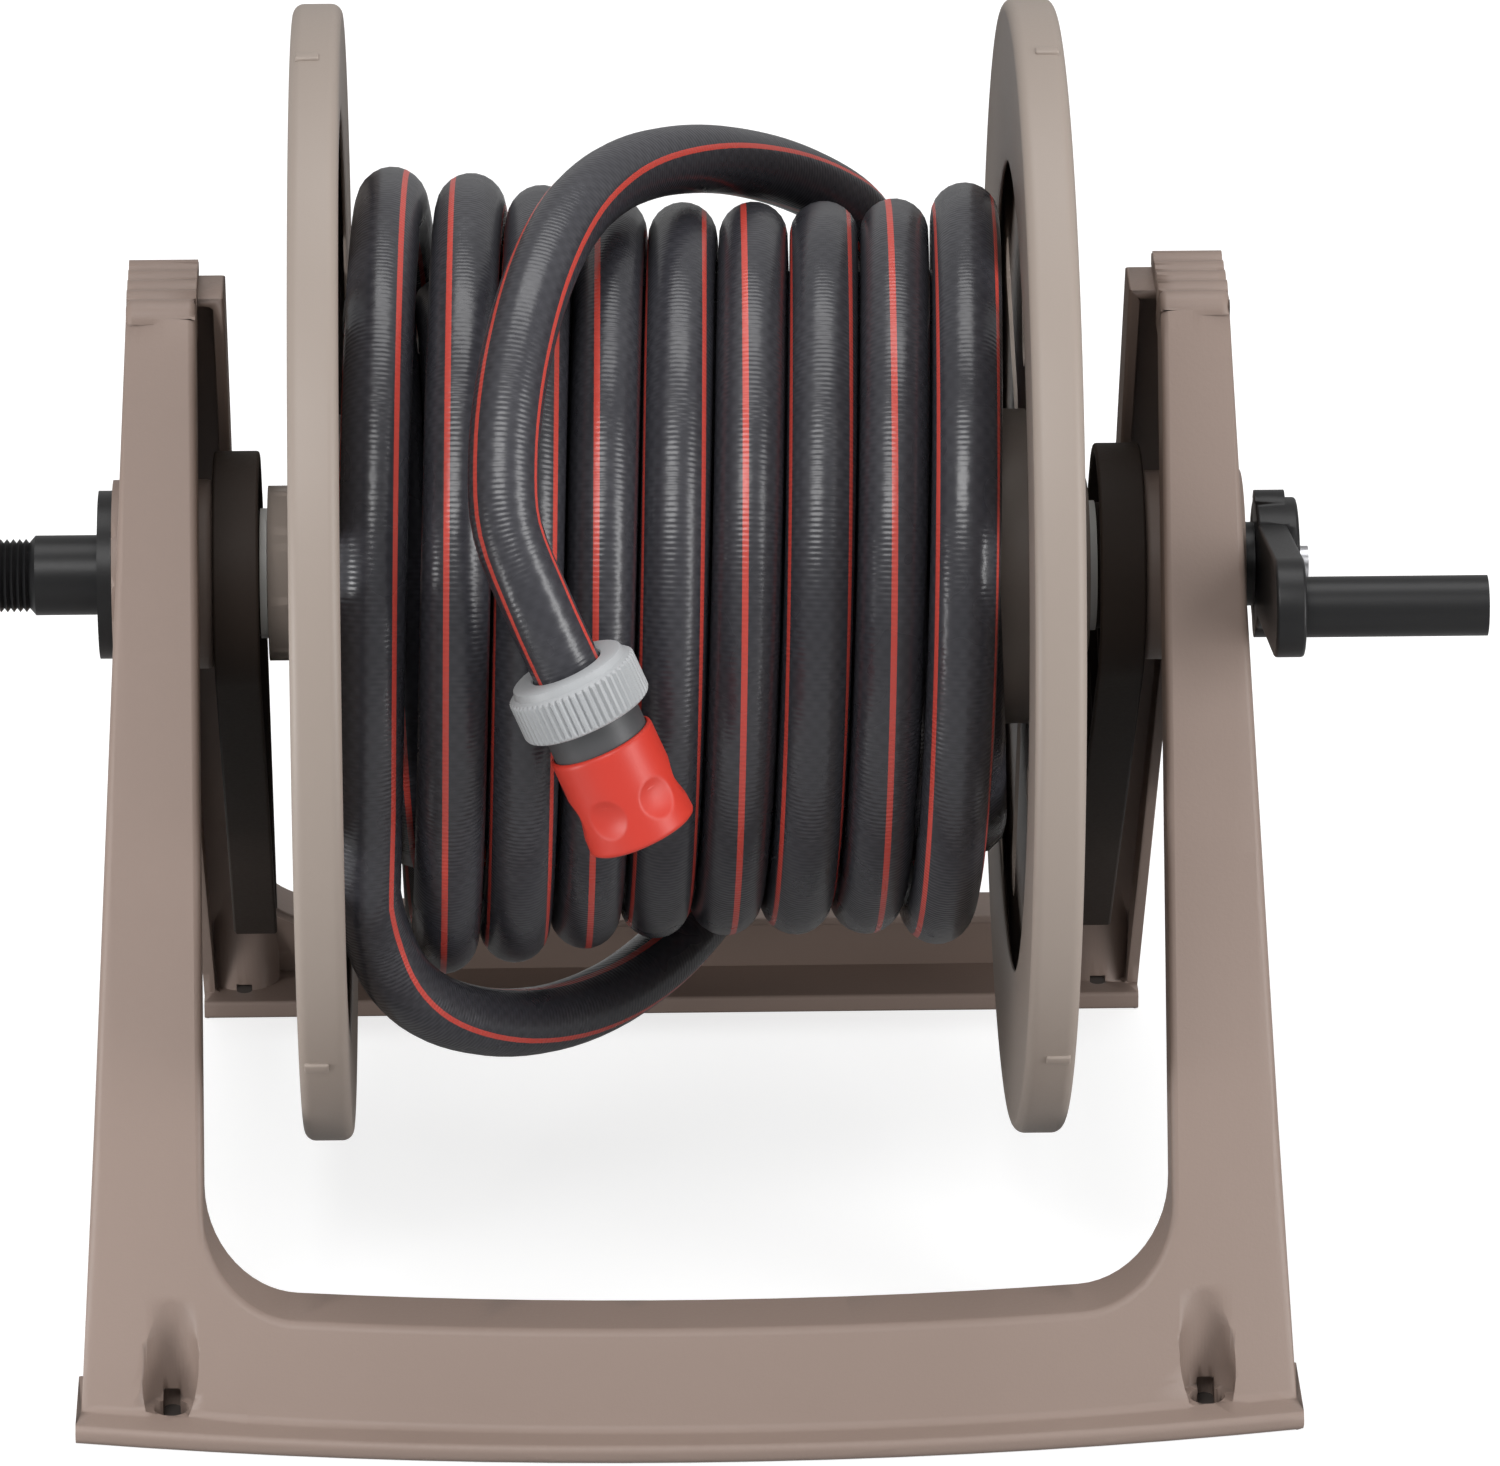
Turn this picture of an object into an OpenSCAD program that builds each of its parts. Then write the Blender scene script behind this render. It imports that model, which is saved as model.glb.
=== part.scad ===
// Open hose reel on an A-shaped stand, with a wound garden hose.
// +X runs along the axle towards the crank, -Y is the front, +Z is up.
// The origin is the middle of the lower side of its box, on the surface that the feet stand on.

/* [Stand] */
// Height of the axle above the floor
axle_h = 197; // [190:1:220]
// Height of the plain roof over each pair of legs
stand_h = 283; // [268:1:300]
// Width of each front leg at the roof
leg_w = 19.5; // [17:0.5:24]
// Splay of each front leg from the roof to the floor
foot_splay = 15; // [10:0.5:22]
// Gap between a bearing arm and the front leg beside it
leg_gap = 3.5; // [3:0.5:6]
// Height of the front crossbar
crossbar_h = 31; // [28:1:42]
// Height of the rear crossbar
rear_bar_h = 34; // [28:1:44]
// Radius of the window's lower corners
window_r = 26; // [15:1:35]
// Distance from the axle's plane to the middle of the front face at the floor
front_reach = 168; // [160:1:178]
// Distance from the axle's plane to the rear face at the floor
rear_reach = 152; // [146:1:165]
// Half depth of the roof along the stand's depth
roof_half_d = 22; // [20:1:28]
// Forward bow of the front panel in the middle of its width
panel_bow = 16; // [10:1:24]
// Wall thickness of the mouldings
wall = 3.2; // [2.4:0.1:4]
// Depth of the edge that runs round the front and rear panels
panel_d = 17; // [14:1:20]
// Height of the lower edge of each side cheek
cheek_z = 90; // [80:1:110]
// Number of grip ribs on each roof
rib_count = 5; // [3:1:6]

/* [Keyholes] */
// Diameter of a keyhole's round entry
key_d = 10; // [8:0.5:12]
// Width of a keyhole's slot
key_slot_w = 4.8; // [4:0.1:6]
// Reach of a keyhole's slot from the centre of its entry
key_slot_l = 10; // [8:0.5:12]
// Distance of the front keyholes from the sides of the foot
key_in = 25; // [22:0.5:28]
// Distance of the front keyholes behind the front face
key_front_in = 21; // [19:0.5:23]
// Distance of the rear keyholes in front of the rear face
key_rear_in = 10; // [8:0.5:12]

/* [Drum] */
// Outer radius of a flange
flange_r = 162; // [150:1:168]
// Distance from the middle of the drum to a rim's inner edge
rim_x = 94; // [92:0.5:97]
// Width of a flange's rim along the axle
rim_w = 14; // [12:0.5:16]
// Recess of a flange's web behind its rim
web_recess = 5.5; // [4:0.5:7]
// Outer radius of the barrel
barrel_r = 45; // [40:1:52]
// Number of ribs and windows on a flange
spokes = 8; // [6:1:12]
// Radius of the drum's journals
journal_r = 12; // [10:0.5:13]

/* [Bearings] */
// Gap between a flange's rim and the bearing arm beside it
rim_gap = 11; // [9:0.5:13]
// Width of a bearing arm along the axle
arm_w = 13; // [11:0.5:14]
// Radius of a bearing arm's round head
arm_head_r = 35; // [30:1:40]
// Half height of a bearing arm at its foot
arm_foot_half = 23; // [18:1:27]
// Lean of a bearing arm from the vertical
arm_lean = 40; // [36:0.5:44]
// Wall of a bearing bush
bush_wall = 3; // [2:0.25:4]
// Radial running clearance of the journals
run_gap = 0.06; // [0.02:0.01:0.1]

/* [Inlet] */
// Outer diameter of the inlet thread
thread_d = 20.96; // [20:0.02:22]
// Length of the inlet thread
thread_l = 11; // [8:0.5:14]
// Pitch of the inlet thread
thread_pitch = 1.814; // [1.5:0.001:2.2]
// Diameter of the neck behind the thread
neck_d = 22.8; // [22:0.1:25]
// Length of the neck
neck_l = 20; // [14:0.5:26]
// Radius of the inlet's fixing plate
plate_r = 24; // [22:0.5:26]
// Bore of the inlet
inlet_bore = 11; // [9:0.5:12]

/* [Crank] */
// Distance from the axle to the grip's axis
crank_r = 75; // [60:1:85]
// Angle of the crank above the horizontal, towards the front
crank_angle = 13; // [0:1:30]
// Gap between the stand's side pad and the crank
crank_gap = 4; // [3:0.5:8]
// Thickness of the crank
crank_w = 8.5; // [7:0.5:12]
// Radius of the crank's hub
crank_hub_r = 19; // [17:0.5:23]
// Radius of the crank's outer end
crank_end_r = 14; // [11:0.5:17]
// Diameter of the grip
grip_d = 17; // [15:0.5:22]
// Length of the grip
grip_l = 51; // [40:1:90]

/* [Hose] */
// Outer diameter of the hose
hose_d = 19.5; // [18:0.1:19.6]
// Distance between neighbouring turns
hose_pitch = 20.1; // [20:0.05:20.2]
// Radius of the winding's centre line in the middle of the drum
wind_r = 95; // [92:0.5:98]
// Rise of the turns next to the left flange
left_rise = 11; // [6:0.5:12]
// Rise of the turns next to the right flange
right_rise = 5; // [0:0.5:6]

/* [Connector] */
// Diameter of the ribbed nut
nut_d = 37; // [34:0.5:38]
// Length of the ribbed nut
nut_l = 15; // [13:0.5:18]
// Diameter of the release sleeve
sleeve_d = 31; // [29:0.5:33]
// Length of the release sleeve
sleeve_l = 29; // [26:0.5:34]
// Travel of the release sleeve
sleeve_travel = 4; // [3:0.5:5]

/* [Hidden] */
$fn = 96;

// Overrun of every cut, gap between screwed faces, and gap between pieces that pass each other
cut = 2;
seat = 0.2;
clear = 0.3;

// Widths along the axle, from the drum outwards
arm_x = rim_x + rim_w + rim_gap;
window_half_w = arm_x + arm_w + leg_gap;
top_half_w = window_half_w + leg_w;
foot_half_w = top_half_w + foot_splay;

// Front panel: a leaning sheet that bows forward in the middle
bow_r = (foot_half_w * foot_half_w + panel_bow * panel_bow) / (2 * panel_bow);
leg_mid_x = (window_half_w + top_half_w) / 2;
leg_bow = leg_mid_x * leg_mid_x / (2 * bow_r);
front_lean = atan((front_reach - roof_half_d - leg_bow) / stand_h);
rear_lean = atan((rear_reach - roof_half_d) / (stand_h - wall));
cheek_tilt = atan((foot_half_w - top_half_w) / stand_h);
cheek_inset = 0.5;
panel_span = 4 * front_reach;
function front_y(z) = -front_reach + z * tan(front_lean);
function rear_y(z) = rear_reach - z * tan(rear_lean);
function cheek_x(z) = foot_half_w - z * tan(cheek_tilt);

// Feet
lip_t = 5.5;
lip_front = 7;
lip_d = 33;
rear_lip = 4;
rear_foot_in = 28;
rear_foot_half_w = foot_half_w - rear_foot_in;
rear_top_half_w = top_half_w - wall - cheek_inset - seat;
rear_leg_w = 14;
rear_window_half_w = rear_foot_half_w - rear_leg_w;
key_x = foot_half_w - key_in;
key_rear_side = 12;
key_rear_x = rear_foot_half_w - key_rear_side;
key_y = front_reach - key_front_in;
key_rear_y = rear_reach - key_rear_in;
pocket_r = 8;
pocket_wall = 2.6;
pocket_h = 48;
lip_side = 1.5;
frame_screw_drop = [12, 24];
frame_screw_z = [for (drop = frame_screw_drop) stand_h - drop];
frame_screw_skin = 1;
rear_side_lean = atan((rear_top_half_w - rear_foot_half_w) / (stand_h - wall - seat));
function frame_seat_x(z) = rear_foot_half_w + z * tan(rear_side_lean) - wall - clear;
frame_screw_l = cheek_x(frame_screw_z[0]) - cheek_inset - frame_screw_skin - frame_seat_x(frame_screw_z[0]);

// Roof over the legs, with its grip ribs and drain slots
rib_rise = 3.5;
rib_r = 5.5;
rib_end_share = 0.6;
rib_pitch = 2 * roof_half_d / (rib_count + rib_end_share);
skirt_h = 9;
skirt_end_share = 1.4;
slot_w_share = 0.45;
slot_h = 5;
rear_cover = 2;

// Bearings
bore_r = journal_r + run_gap;
bush_r = bore_r + bush_wall;
bush_fit = 0.05;
bush_lip = 3.5;
bush_flange_r = bush_r + bush_lip;
bush_flange_t = 2;
boss_wall = 12;
boss_r = bush_r + boss_wall;
pad_rise = 1.2;
pad_x = cheek_x(axle_h) + pad_rise;
arm_outer_x = arm_x + arm_w;
boss_x = arm_outer_x + seat;
bush_end_x = cheek_x(axle_h) - wall;
arm_wall = 3;
arm_foot_l = 190;
arm_rib_count = 3;
arm_rib_step = 38;
arm_rib_share = 0.2;
screw_r = 2;
screw_head_r = 4;
screw_head_h = 2.6;
screw_gap = 0.1;
arm_boss_wall = 3;
arm_boss_r = bush_r + arm_boss_wall;
arm_screw_out = 8.5;
arm_screw_r = bush_r + arm_screw_out;
arm_screw_l = 24;
screw_angles = [90, 210, 330];

// Drum
web_x = rim_x + web_recess;
web_t = 3;
rim_t = 4;
bead_in = 22;
bead_r = flange_r - bead_in;
bead_t = 3;
bead_h = 3;
hub_r = 25;
hub_end_x = arm_x - bush_flange_t - clear;
rib_t = 3;
flange_rib_h = 5;
window_from = 20;
window_in_r = barrel_r + window_from;
window_to = 14;
window_out_r = bead_r - window_to;
window_w = 16;
tab_angles = [84.5, 204.5, 324.5];
tab_w = 4;
tab_h = 0.8;
tab_share = 0.6;
collar_r = 19;
collar_t = 4;
barrel_wall = 3;
barrel_in_r = barrel_r - barrel_wall;
barrel_end_w = 11;
barrel_end_r = barrel_in_r - barrel_end_w;
barrel_end_l = 16;
post_at_r = barrel_in_r - barrel_end_w / 2;
flange_screw_l = 14;
flange_screw_count = 4;
flange_screw_share = 0.25;
half_step_share = 0.5;

// Water path
spigot_r = 7.9;
spindle_bore_r = spigot_r + run_gap;
spindle_in = 46.5;
spindle_in_x = web_x - spindle_in;
spindle_proud = 1;
spindle_out_x = arm_outer_x + spindle_proud;
spindle_wall = 4;
branch_in = 30.5;
branch_x = web_x - branch_in;
barb_r = 6.6;
barb_bore_r = 4.6;
barb_rise = 0.7;
barb_count = 3;
barb_step = 4;
barb_in_r = 26;
barb_l = 13;
plate_t = 4;
plate_x = pad_x + seat;
inlet_seat_x = plate_x + plate_t - screw_head_h - seat;
spigot_in = 21;
spigot_in_x = arm_x - spigot_in;
o_ring_in = [11, 3];
o_ring_x = [for (d = o_ring_in) arm_x - d];
o_groove_r = 6.4;
seal_gap = 0.02;
o_section_r = (spindle_bore_r - seal_gap - o_groove_r) / 2;
seal_side = 0.6;
o_groove_w = 2 * o_section_r + seal_side;
thread_depth_share = 0.64;
thread_root_r = thread_d / 2 - thread_depth_share * thread_pitch;
neck_x = plate_x + plate_t;
thread_x = neck_x + neck_l;
inlet_x = thread_x + thread_l;
plate_edge = 4.5;
inlet_screw_r = plate_r - plate_edge;
inlet_screw_l = 12;
lead_r = 9;
clip_t = 1.2;
clip_w = 8;

// Crank
crank_x = pad_x + crank_gap;
shaft_in_x = spindle_in_x;
shaft_out_x = crank_x - clear;
square_w = 13;
square_proud = 2;
square_l = crank_w + square_proud;
hub_proud = 3.5;
crank_hub_w = crank_w + hub_proud;
crank_out_x = crank_x + crank_w;
pin_r = 4.5;
pin_short = 9;
pin_l = grip_l - pin_short;
pin_gap = 0.08;
grip_x = crank_out_x + clear;
grip_end_x = grip_x + grip_l;
cap_t = 4;
lobe_r = 8;
lobe_at_share = 0.7;
crank_screw_r = 2.5;
crank_screw_l = 16;
crank_head_r = 5;
crank_head_h = 3.4;
grip_head_r = 6.2;
grip_head_h = 2.4;
grip_screw_l = 14;
grip_recess_r = 6.6;

// The part's frame stands on the middle of the lower side of its box, without the hose's free end
mid_x = (grip_end_x - inlet_x) / 2;
mid_y = (max(flange_r, rear_reach + rear_lip) - front_reach - lip_front) / 2;
module in_frame() translate([-mid_x, -mid_y, 0]) children();
module at_axle() translate([0, 0, axle_h]) rotate([0, 90, 0]) children();
module side_plate(t) rotate([90, 0, 90]) linear_extrude(t) children();
module both_sides() for (s = [0, 1]) mirror([s, 0, 0]) children();
module left_side() mirror([1, 0, 0]) children();

// Hose route: a winding with a free end that leaves it at the lower left
winding_start = -15;
dive_span = 55;
dive_depth = 16;
first_room = 2.5;
last_room = 3.2;
first_gap = 3;
first_turn_x = -web_x + first_room + hose_d / 2;
last_turn_x = web_x - last_room - hose_d / 2;
winding_end = 360 * (last_turn_x - first_gap - first_turn_x) / hose_pitch;
left_turns = 4.5;
right_turns = 1.4;
right_from = 7;
rings_per_turn = 24;
winding_sides = 6;
core_gap = 0.4;
tail_sides = 10;
tail_steps = 2;
// Points of the free end: along the axle, degrees round it from the front, and rise over the winding
tail_drum_w = 99.5;
tail_share = web_x / tail_drum_w;
tail_points = [[-86.5, -38, 21], [-81, -45.5, 27.5], [-72, -53, 31.5], [-59.5, -60.5, 33.5],
  [-45.5, -68, 34], [-30.5, -76, 33], [-15, -85.5, 31], [1, -97, 28.5], [16, -110.5, 26],
  [29, -126, 24], [39.5, -143, 23], [47.5, -159.5, 22.5], [53.5, -175, 22], [57.5, -188.5, 22],
  [60, -200, 22], [59.5, -208, 21.5], [57, -215, 21], [52, -221.5, 20.8], [43, -228.5, 20.8],
  [32.5, -236, 20.8], [21.5, -244, 21], [10.5, -252, 22], [-0.5, -260, 23.5], [-11, -268, 25.5],
  [-20.5, -276.5, 28], [-29.5, -286, 31], [-37, -296, 34], [-43, -306, 37], [-47.5, -316, 39],
  [-49.5, -325, 40], [-48.5, -333, 40]];
connector_at = [-33, 10.9, 37.4];
connector_dir = [0.4, -0.1, -0.91];
connector_axis = connector_dir / norm(connector_dir);
sink = 9;

function round_axle(x, a, r) = [x, -r * cos(a), axle_h + r * sin(a)];
function over_winding(p) = round_axle(p[0] * tail_share, p[1], wind_r + p[2]);
function turn_x(a) = first_turn_x + hose_pitch * a / 360 + first_gap * ease(a / 360);
function ease(t) = (1 - cos(180 * min(1, max(0, t)))) / 2;
function dive(a) = dive_depth * pow(max(0, (a - winding_end + dive_span) / dive_span), 2);
function turn_r(a) = wind_r + left_rise * ease(1 - a / 360 / left_turns)
  + right_rise * ease((a / 360 - right_from) / right_turns) - dive(a);
function turn_at(a) = round_axle(turn_x(a), a, turn_r(a));
function unit(v) = v / norm(v);
ring_step = 360 / rings_per_turn;
ring_count = floor((winding_end - winding_start) / ring_step);
turn_points = [for (i = [0:ring_count]) turn_at(winding_start + i * ring_step)];
first_run = unit(turn_points[0] - turn_points[1]);
last_run = unit(turn_points[ring_count] - turn_points[ring_count - 1]);
winding_path = concat([turn_points[0] + first_run * hose_d], turn_points,
  [turn_points[ring_count] + last_run * hose_d]);
connector_mouth = over_winding(connector_at);
tail_knots = concat([winding_path[0], winding_path[0] + first_run * hose_d / 2],
  [for (p = tail_points) over_winding(p)],
  [connector_mouth - connector_axis * hose_d, connector_mouth, connector_mouth + connector_axis * sink]);
tail_last = len(tail_knots) - 1;
function knot(i) = tail_knots[min(tail_last, max(0, i))];
function between(a, b, c, d, t) = (2 * b + (c - a) * t + (2 * a - 5 * b + 4 * c - d) * t * t
  + (3 * b - a - 3 * c + d) * t * t * t) / 2;
tail_path = concat([winding_path[0] + first_run * seat / 2],
  [for (i = [1:tail_last - 1], k = [0:tail_steps - 1])
  between(knot(i - 1), knot(i), knot(i + 1), knot(i + 2), k / tail_steps)], [tail_knots[tail_last]]);

function path_dir(path, i) = unit(path[min(len(path) - 1, i + 1)] - path[max(0, i - 1)]);
function ring_at(p, t, sides, r, ref) = let (side = unit(cross(t, ref)), up = cross(side, t))
  [for (k = [0:sides - 1]) p + r * (cos(360 * k / sides) * side + sin(360 * k / sides) * up)];
module tube(path, sides, r, ref = [1, 0, 0]) {
  n = len(path);
  points = [for (i = [0:n - 1]) each ring_at(path[i], path_dir(path, i), sides, r, ref)];
  walls = [for (i = [0:n - 2], k = [0:sides - 1]) let (a = i * sides + k, b = i * sides + (k + 1) % sides)
    each [[a, b, a + sides], [b, b + sides, a + sides]]];
  caps = [for (k = [1:sides - 2]) each [[0, k + 1, k],
    [(n - 1) * sides, (n - 1) * sides + k, (n - 1) * sides + k + 1]]];
  polyhedron(points, concat(walls, caps));
}

// Least gap of the winding to itself and to the free end, measured between centre lines
gap_skip = rings_per_turn / 2;
tail_skip = 6;
self_gap = min([for (i = [0:ring_count], j = [i + gap_skip:1:ring_count])
  norm(turn_points[i] - turn_points[j])]) - hose_d;
tail_gap = min([for (i = [tail_skip:len(tail_path) - 1], p = turn_points) norm(tail_path[i] - p)]) - hose_d;
tail_length = [for (i = 0, s = 0; i < len(tail_path); i = i + 1,
  s = s + (i < len(tail_path) ? norm(tail_path[i] - tail_path[i - 1]) : 0)) s];
echo(self_gap = self_gap, tail_gap = tail_gap, tail_length = tail_length[len(tail_length) - 1]);

// Shapes of the stand
module leaning_sheet(r)
  translate([0, -front_reach + bow_r * cos(front_lean), -bow_r * sin(front_lean)])
    rotate([-front_lean, 0, 0])
      translate([0, 0, -panel_span]) cylinder(r = r, h = 2 * panel_span, $fn = 360);
module window_2d(half_w, sill, r) {
  translate([-half_w, sill + r]) square([2 * half_w, stand_h]);
  translate([-half_w + r, sill]) square([2 * (half_w - r), r + cut]);
  for (s = [-1, 1]) translate([s * (half_w - r), sill + r]) circle(r);
}
module leg_outline(foot_w, top_w, low_z, high_z)
  polygon([[-foot_w, low_z], [foot_w, low_z], [top_w, high_z], [-top_w, high_z]]);
module through_depth()
  translate([0, panel_span / 2, 0]) rotate([90, 0, 0]) linear_extrude(panel_span) children();
module front_outline(inset, low_z, high_z) through_depth() difference() {
  leg_outline(foot_half_w - inset, top_half_w - inset, low_z, high_z);
  window_2d(window_half_w + inset, crossbar_h - inset, window_r + inset);
}
module rear_outline(inset, low_z, high_z) through_depth() difference() {
  leg_outline(rear_foot_half_w - inset, rear_top_half_w - inset, low_z, high_z);
  window_2d(rear_window_half_w + inset, rear_bar_h - inset, window_r + inset);
}
module behind_rear(depth, t)
  translate([0, rear_reach, 0]) rotate([rear_lean, 0, 0])
    translate([-panel_span / 2, -depth, -panel_span / 2]) cube([panel_span, t, panel_span]);
module keyhole() {
  translate([0, 0, -cut]) cylinder(d = key_d, h = lip_t + 2 * cut);
  translate([-key_slot_w / 2, 0, -cut]) cube([key_slot_w, key_slot_l, lip_t + 2 * cut]);
  translate([0, key_slot_l, -cut]) cylinder(d = key_slot_w, h = lip_t + 2 * cut);
}

module front_panel() difference() {
  intersection() {
    front_outline(0, 0, stand_h);
    leaning_sheet(bow_r);
  }
  leaning_sheet(bow_r - panel_d);
  intersection() {
    front_outline(wall, lip_t, stand_h - wall);
    leaning_sheet(bow_r - wall);
  }
}
module front_lip() intersection() {
  translate([0, bow_r - front_reach - lip_front, 0]) difference() {
    cylinder(r = bow_r, h = lip_t, $fn = 360);
    translate([0, 0, -cut]) cylinder(r = bow_r - lip_d, h = lip_t + 2 * cut, $fn = 360);
  }
  translate([-foot_half_w - lip_side, -front_reach - 2 * lip_front, 0])
    cube([2 * (foot_half_w + lip_side), lip_d + 2 * panel_bow, lip_t]);
}
module roof_2d() {
  translate([-roof_half_d + wall / 2, stand_h - wall])
    square([2 * roof_half_d - wall / 2 + rear_cover, wall]);
  intersection() {
    translate([-roof_half_d, stand_h - wall / 2]) square([2 * roof_half_d, rib_r]);
    for (i = [0:rib_count - 1])
      translate([(i - (rib_count - 1) / 2) * rib_pitch, stand_h + rib_rise - rib_r]) circle(rib_r);
  }
}
module roof() {
  translate([window_half_w, 0, 0]) side_plate(top_half_w - window_half_w) roof_2d();
  difference() {
    translate([window_half_w, -roof_half_d + wall / 2, stand_h - wall - skirt_h])
      cube([wall, 2 * roof_half_d - skirt_end_share * panel_d, skirt_h + wall / 2]);
    for (i = [0:rib_count - 1])
      translate([window_half_w - cut, (i - (rib_count - 1) / 2 - slot_w_share / 2) * rib_pitch,
        stand_h - wall - slot_h])
        cube([wall + 2 * cut, slot_w_share * rib_pitch, slot_h - wall / 2]);
  }
}
module cheek() translate([foot_half_w - wall - cheek_inset, 0, 0]) rotate([0, -cheek_tilt, 0])
  side_plate(wall) polygon([[front_y(cheek_z) + panel_bow + panel_d / 2, cheek_z],
    [rear_y(cheek_z) - rear_cover, cheek_z], [roof_half_d, stand_h - wall / 2],
    [-roof_half_d + wall, stand_h - wall / 2]]);
module boss() at_axle() translate([0, 0, boss_x]) cylinder(r = boss_r, h = pad_x - boss_x);
module on_boss(angles, r) for (a = angles) rotate([0, 0, a]) translate([r, 0, 0]) children();
module frame_screw_places() for (z = frame_screw_z)
  translate([frame_seat_x(z), rear_y(z) - panel_d / 2, z]) rotate([0, 90, 0]) children();

module front_frame() color("#a3948a") in_frame() difference() {
  union() {
    front_panel();
    front_lip();
    both_sides() {
      roof();
      cheek();
      boss();
      intersection() {
        translate([key_x, -key_y, 0]) cylinder(r = pocket_r + pocket_wall, h = pocket_h);
        leaning_sheet(bow_r - wall / 2);
      }
    }
  }
  both_sides() {
    translate([key_x, -key_y, lip_t]) cylinder(r = pocket_r, h = pocket_h);
    translate([key_x, -key_y, 0]) keyhole();
    at_axle() translate([0, 0, boss_x - cut]) {
      cylinder(r = bush_r + bush_fit, h = pad_x);
      on_boss(screw_angles, arm_screw_r) cylinder(r = screw_r + screw_gap, h = arm_screw_l + cut);
    }
    frame_screw_places() cylinder(r = screw_r + screw_gap, h = frame_screw_l + screw_gap);
  }
  left_side() at_axle() translate([0, 0, pad_x - inlet_screw_l]) rotate([0, 0, 180])
    on_boss(screw_angles, inlet_screw_r) cylinder(r = screw_r + screw_gap, h = inlet_screw_l + cut);
}

module rear_frame() color("#9a8b81") in_frame() difference() {
  union() {
    difference() {
      intersection() {
        rear_outline(0, 0, stand_h - wall - seat);
        behind_rear(panel_d, panel_d);
      }
      intersection() {
        rear_outline(wall, lip_t, stand_h - 2 * wall);
        behind_rear(panel_d + cut, panel_d + cut - wall);
      }
    }
    translate([-rear_foot_half_w, rear_reach + rear_lip - lip_d, 0])
      cube([2 * rear_foot_half_w, lip_d, lip_t]);
    both_sides() intersection() {
      translate([key_rear_x, key_rear_y, 0]) cylinder(r = pocket_r + pocket_wall, h = pocket_h);
      behind_rear(panel_span, panel_span - wall / 2);
    }
  }
  both_sides() {
    translate([key_rear_x, key_rear_y, 0]) mirror([0, 1, 0]) keyhole();
    translate([key_rear_x, key_rear_y, lip_t]) cylinder(r = pocket_r, h = pocket_h);
    frame_screw_places() cylinder(r = screw_r + screw_gap, h = frame_screw_l);
  }
}

// Bearing arms: round heads on the axle, feet against the rear legs
module arm_2d(inset) translate([0, axle_h]) {
  circle(arm_head_r - inset);
  rotate(arm_lean) polygon([[-arm_head_r + inset, 0], [arm_head_r - inset, 0],
    [arm_foot_half - inset, -arm_foot_l], [-arm_foot_half + inset, -arm_foot_l]]);
}
module bearing_arm() difference() {
  union() {
    difference() {
      translate([arm_x, 0, 0]) side_plate(arm_w) arm_2d(0);
      difference() {
        translate([arm_x - cut, 0, 0]) side_plate(arm_w - arm_wall + cut) arm_2d(arm_wall);
        behind_rear(panel_d + seat + arm_wall, panel_span);
        for (i = [1:arm_rib_count]) translate([arm_x + arm_wall, 0, axle_h]) rotate([arm_lean, 0, 0])
          translate([0, -arm_head_r, -arm_rib_step * (i + arm_rib_share)])
            cube([arm_w, 2 * arm_head_r, arm_wall]);
      }
    }
    at_axle() translate([0, 0, arm_x]) cylinder(r = arm_boss_r, h = arm_w);
  }
  behind_rear(panel_d + seat, panel_span);
  at_axle() translate([0, 0, arm_x - cut]) {
    cylinder(r = bush_r + bush_fit, h = arm_w + 2 * cut);
    on_boss(screw_angles, arm_screw_r) cylinder(r = screw_r + screw_gap, h = arm_w + 2 * cut);
  }
}
module right_bearing_arm() color("#93847a") in_frame() bearing_arm();
module left_bearing_arm() color("#93847a") in_frame() left_side() bearing_arm();

module bush() at_axle() difference() {
  union() {
    translate([0, 0, arm_x - bush_flange_t]) cylinder(r = bush_flange_r, h = bush_flange_t);
    translate([0, 0, arm_x - bush_flange_t]) cylinder(r = bush_r, h = bush_end_x - arm_x + bush_flange_t);
  }
  translate([0, 0, arm_x - bush_flange_t - cut]) cylinder(r = bore_r, h = bush_end_x);
}
module right_bush() color("#e8e6e0") in_frame() bush();
module left_bush() color("#e8e6e0") in_frame() left_side() bush();

module screw(l) {
  cylinder(r = screw_r, h = l);
  translate([0, 0, -screw_head_h]) cylinder(r = screw_head_r, h = screw_head_h);
}
module arm_screws() color("#b8b8b8") in_frame() both_sides()
  at_axle() translate([0, 0, arm_outer_x - arm_wall])
    on_boss(screw_angles, arm_screw_r) screw(arm_screw_l);
module frame_screws() color("#b8b8b8") in_frame() both_sides()
  frame_screw_places() screw(frame_screw_l);
module inlet_screws() color("#b8b8b8") in_frame() left_side() at_axle()
  translate([0, 0, inlet_seat_x]) rotate([180, 0, 0])
    on_boss(screw_angles, inlet_screw_r) screw(inlet_screw_l);

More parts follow.
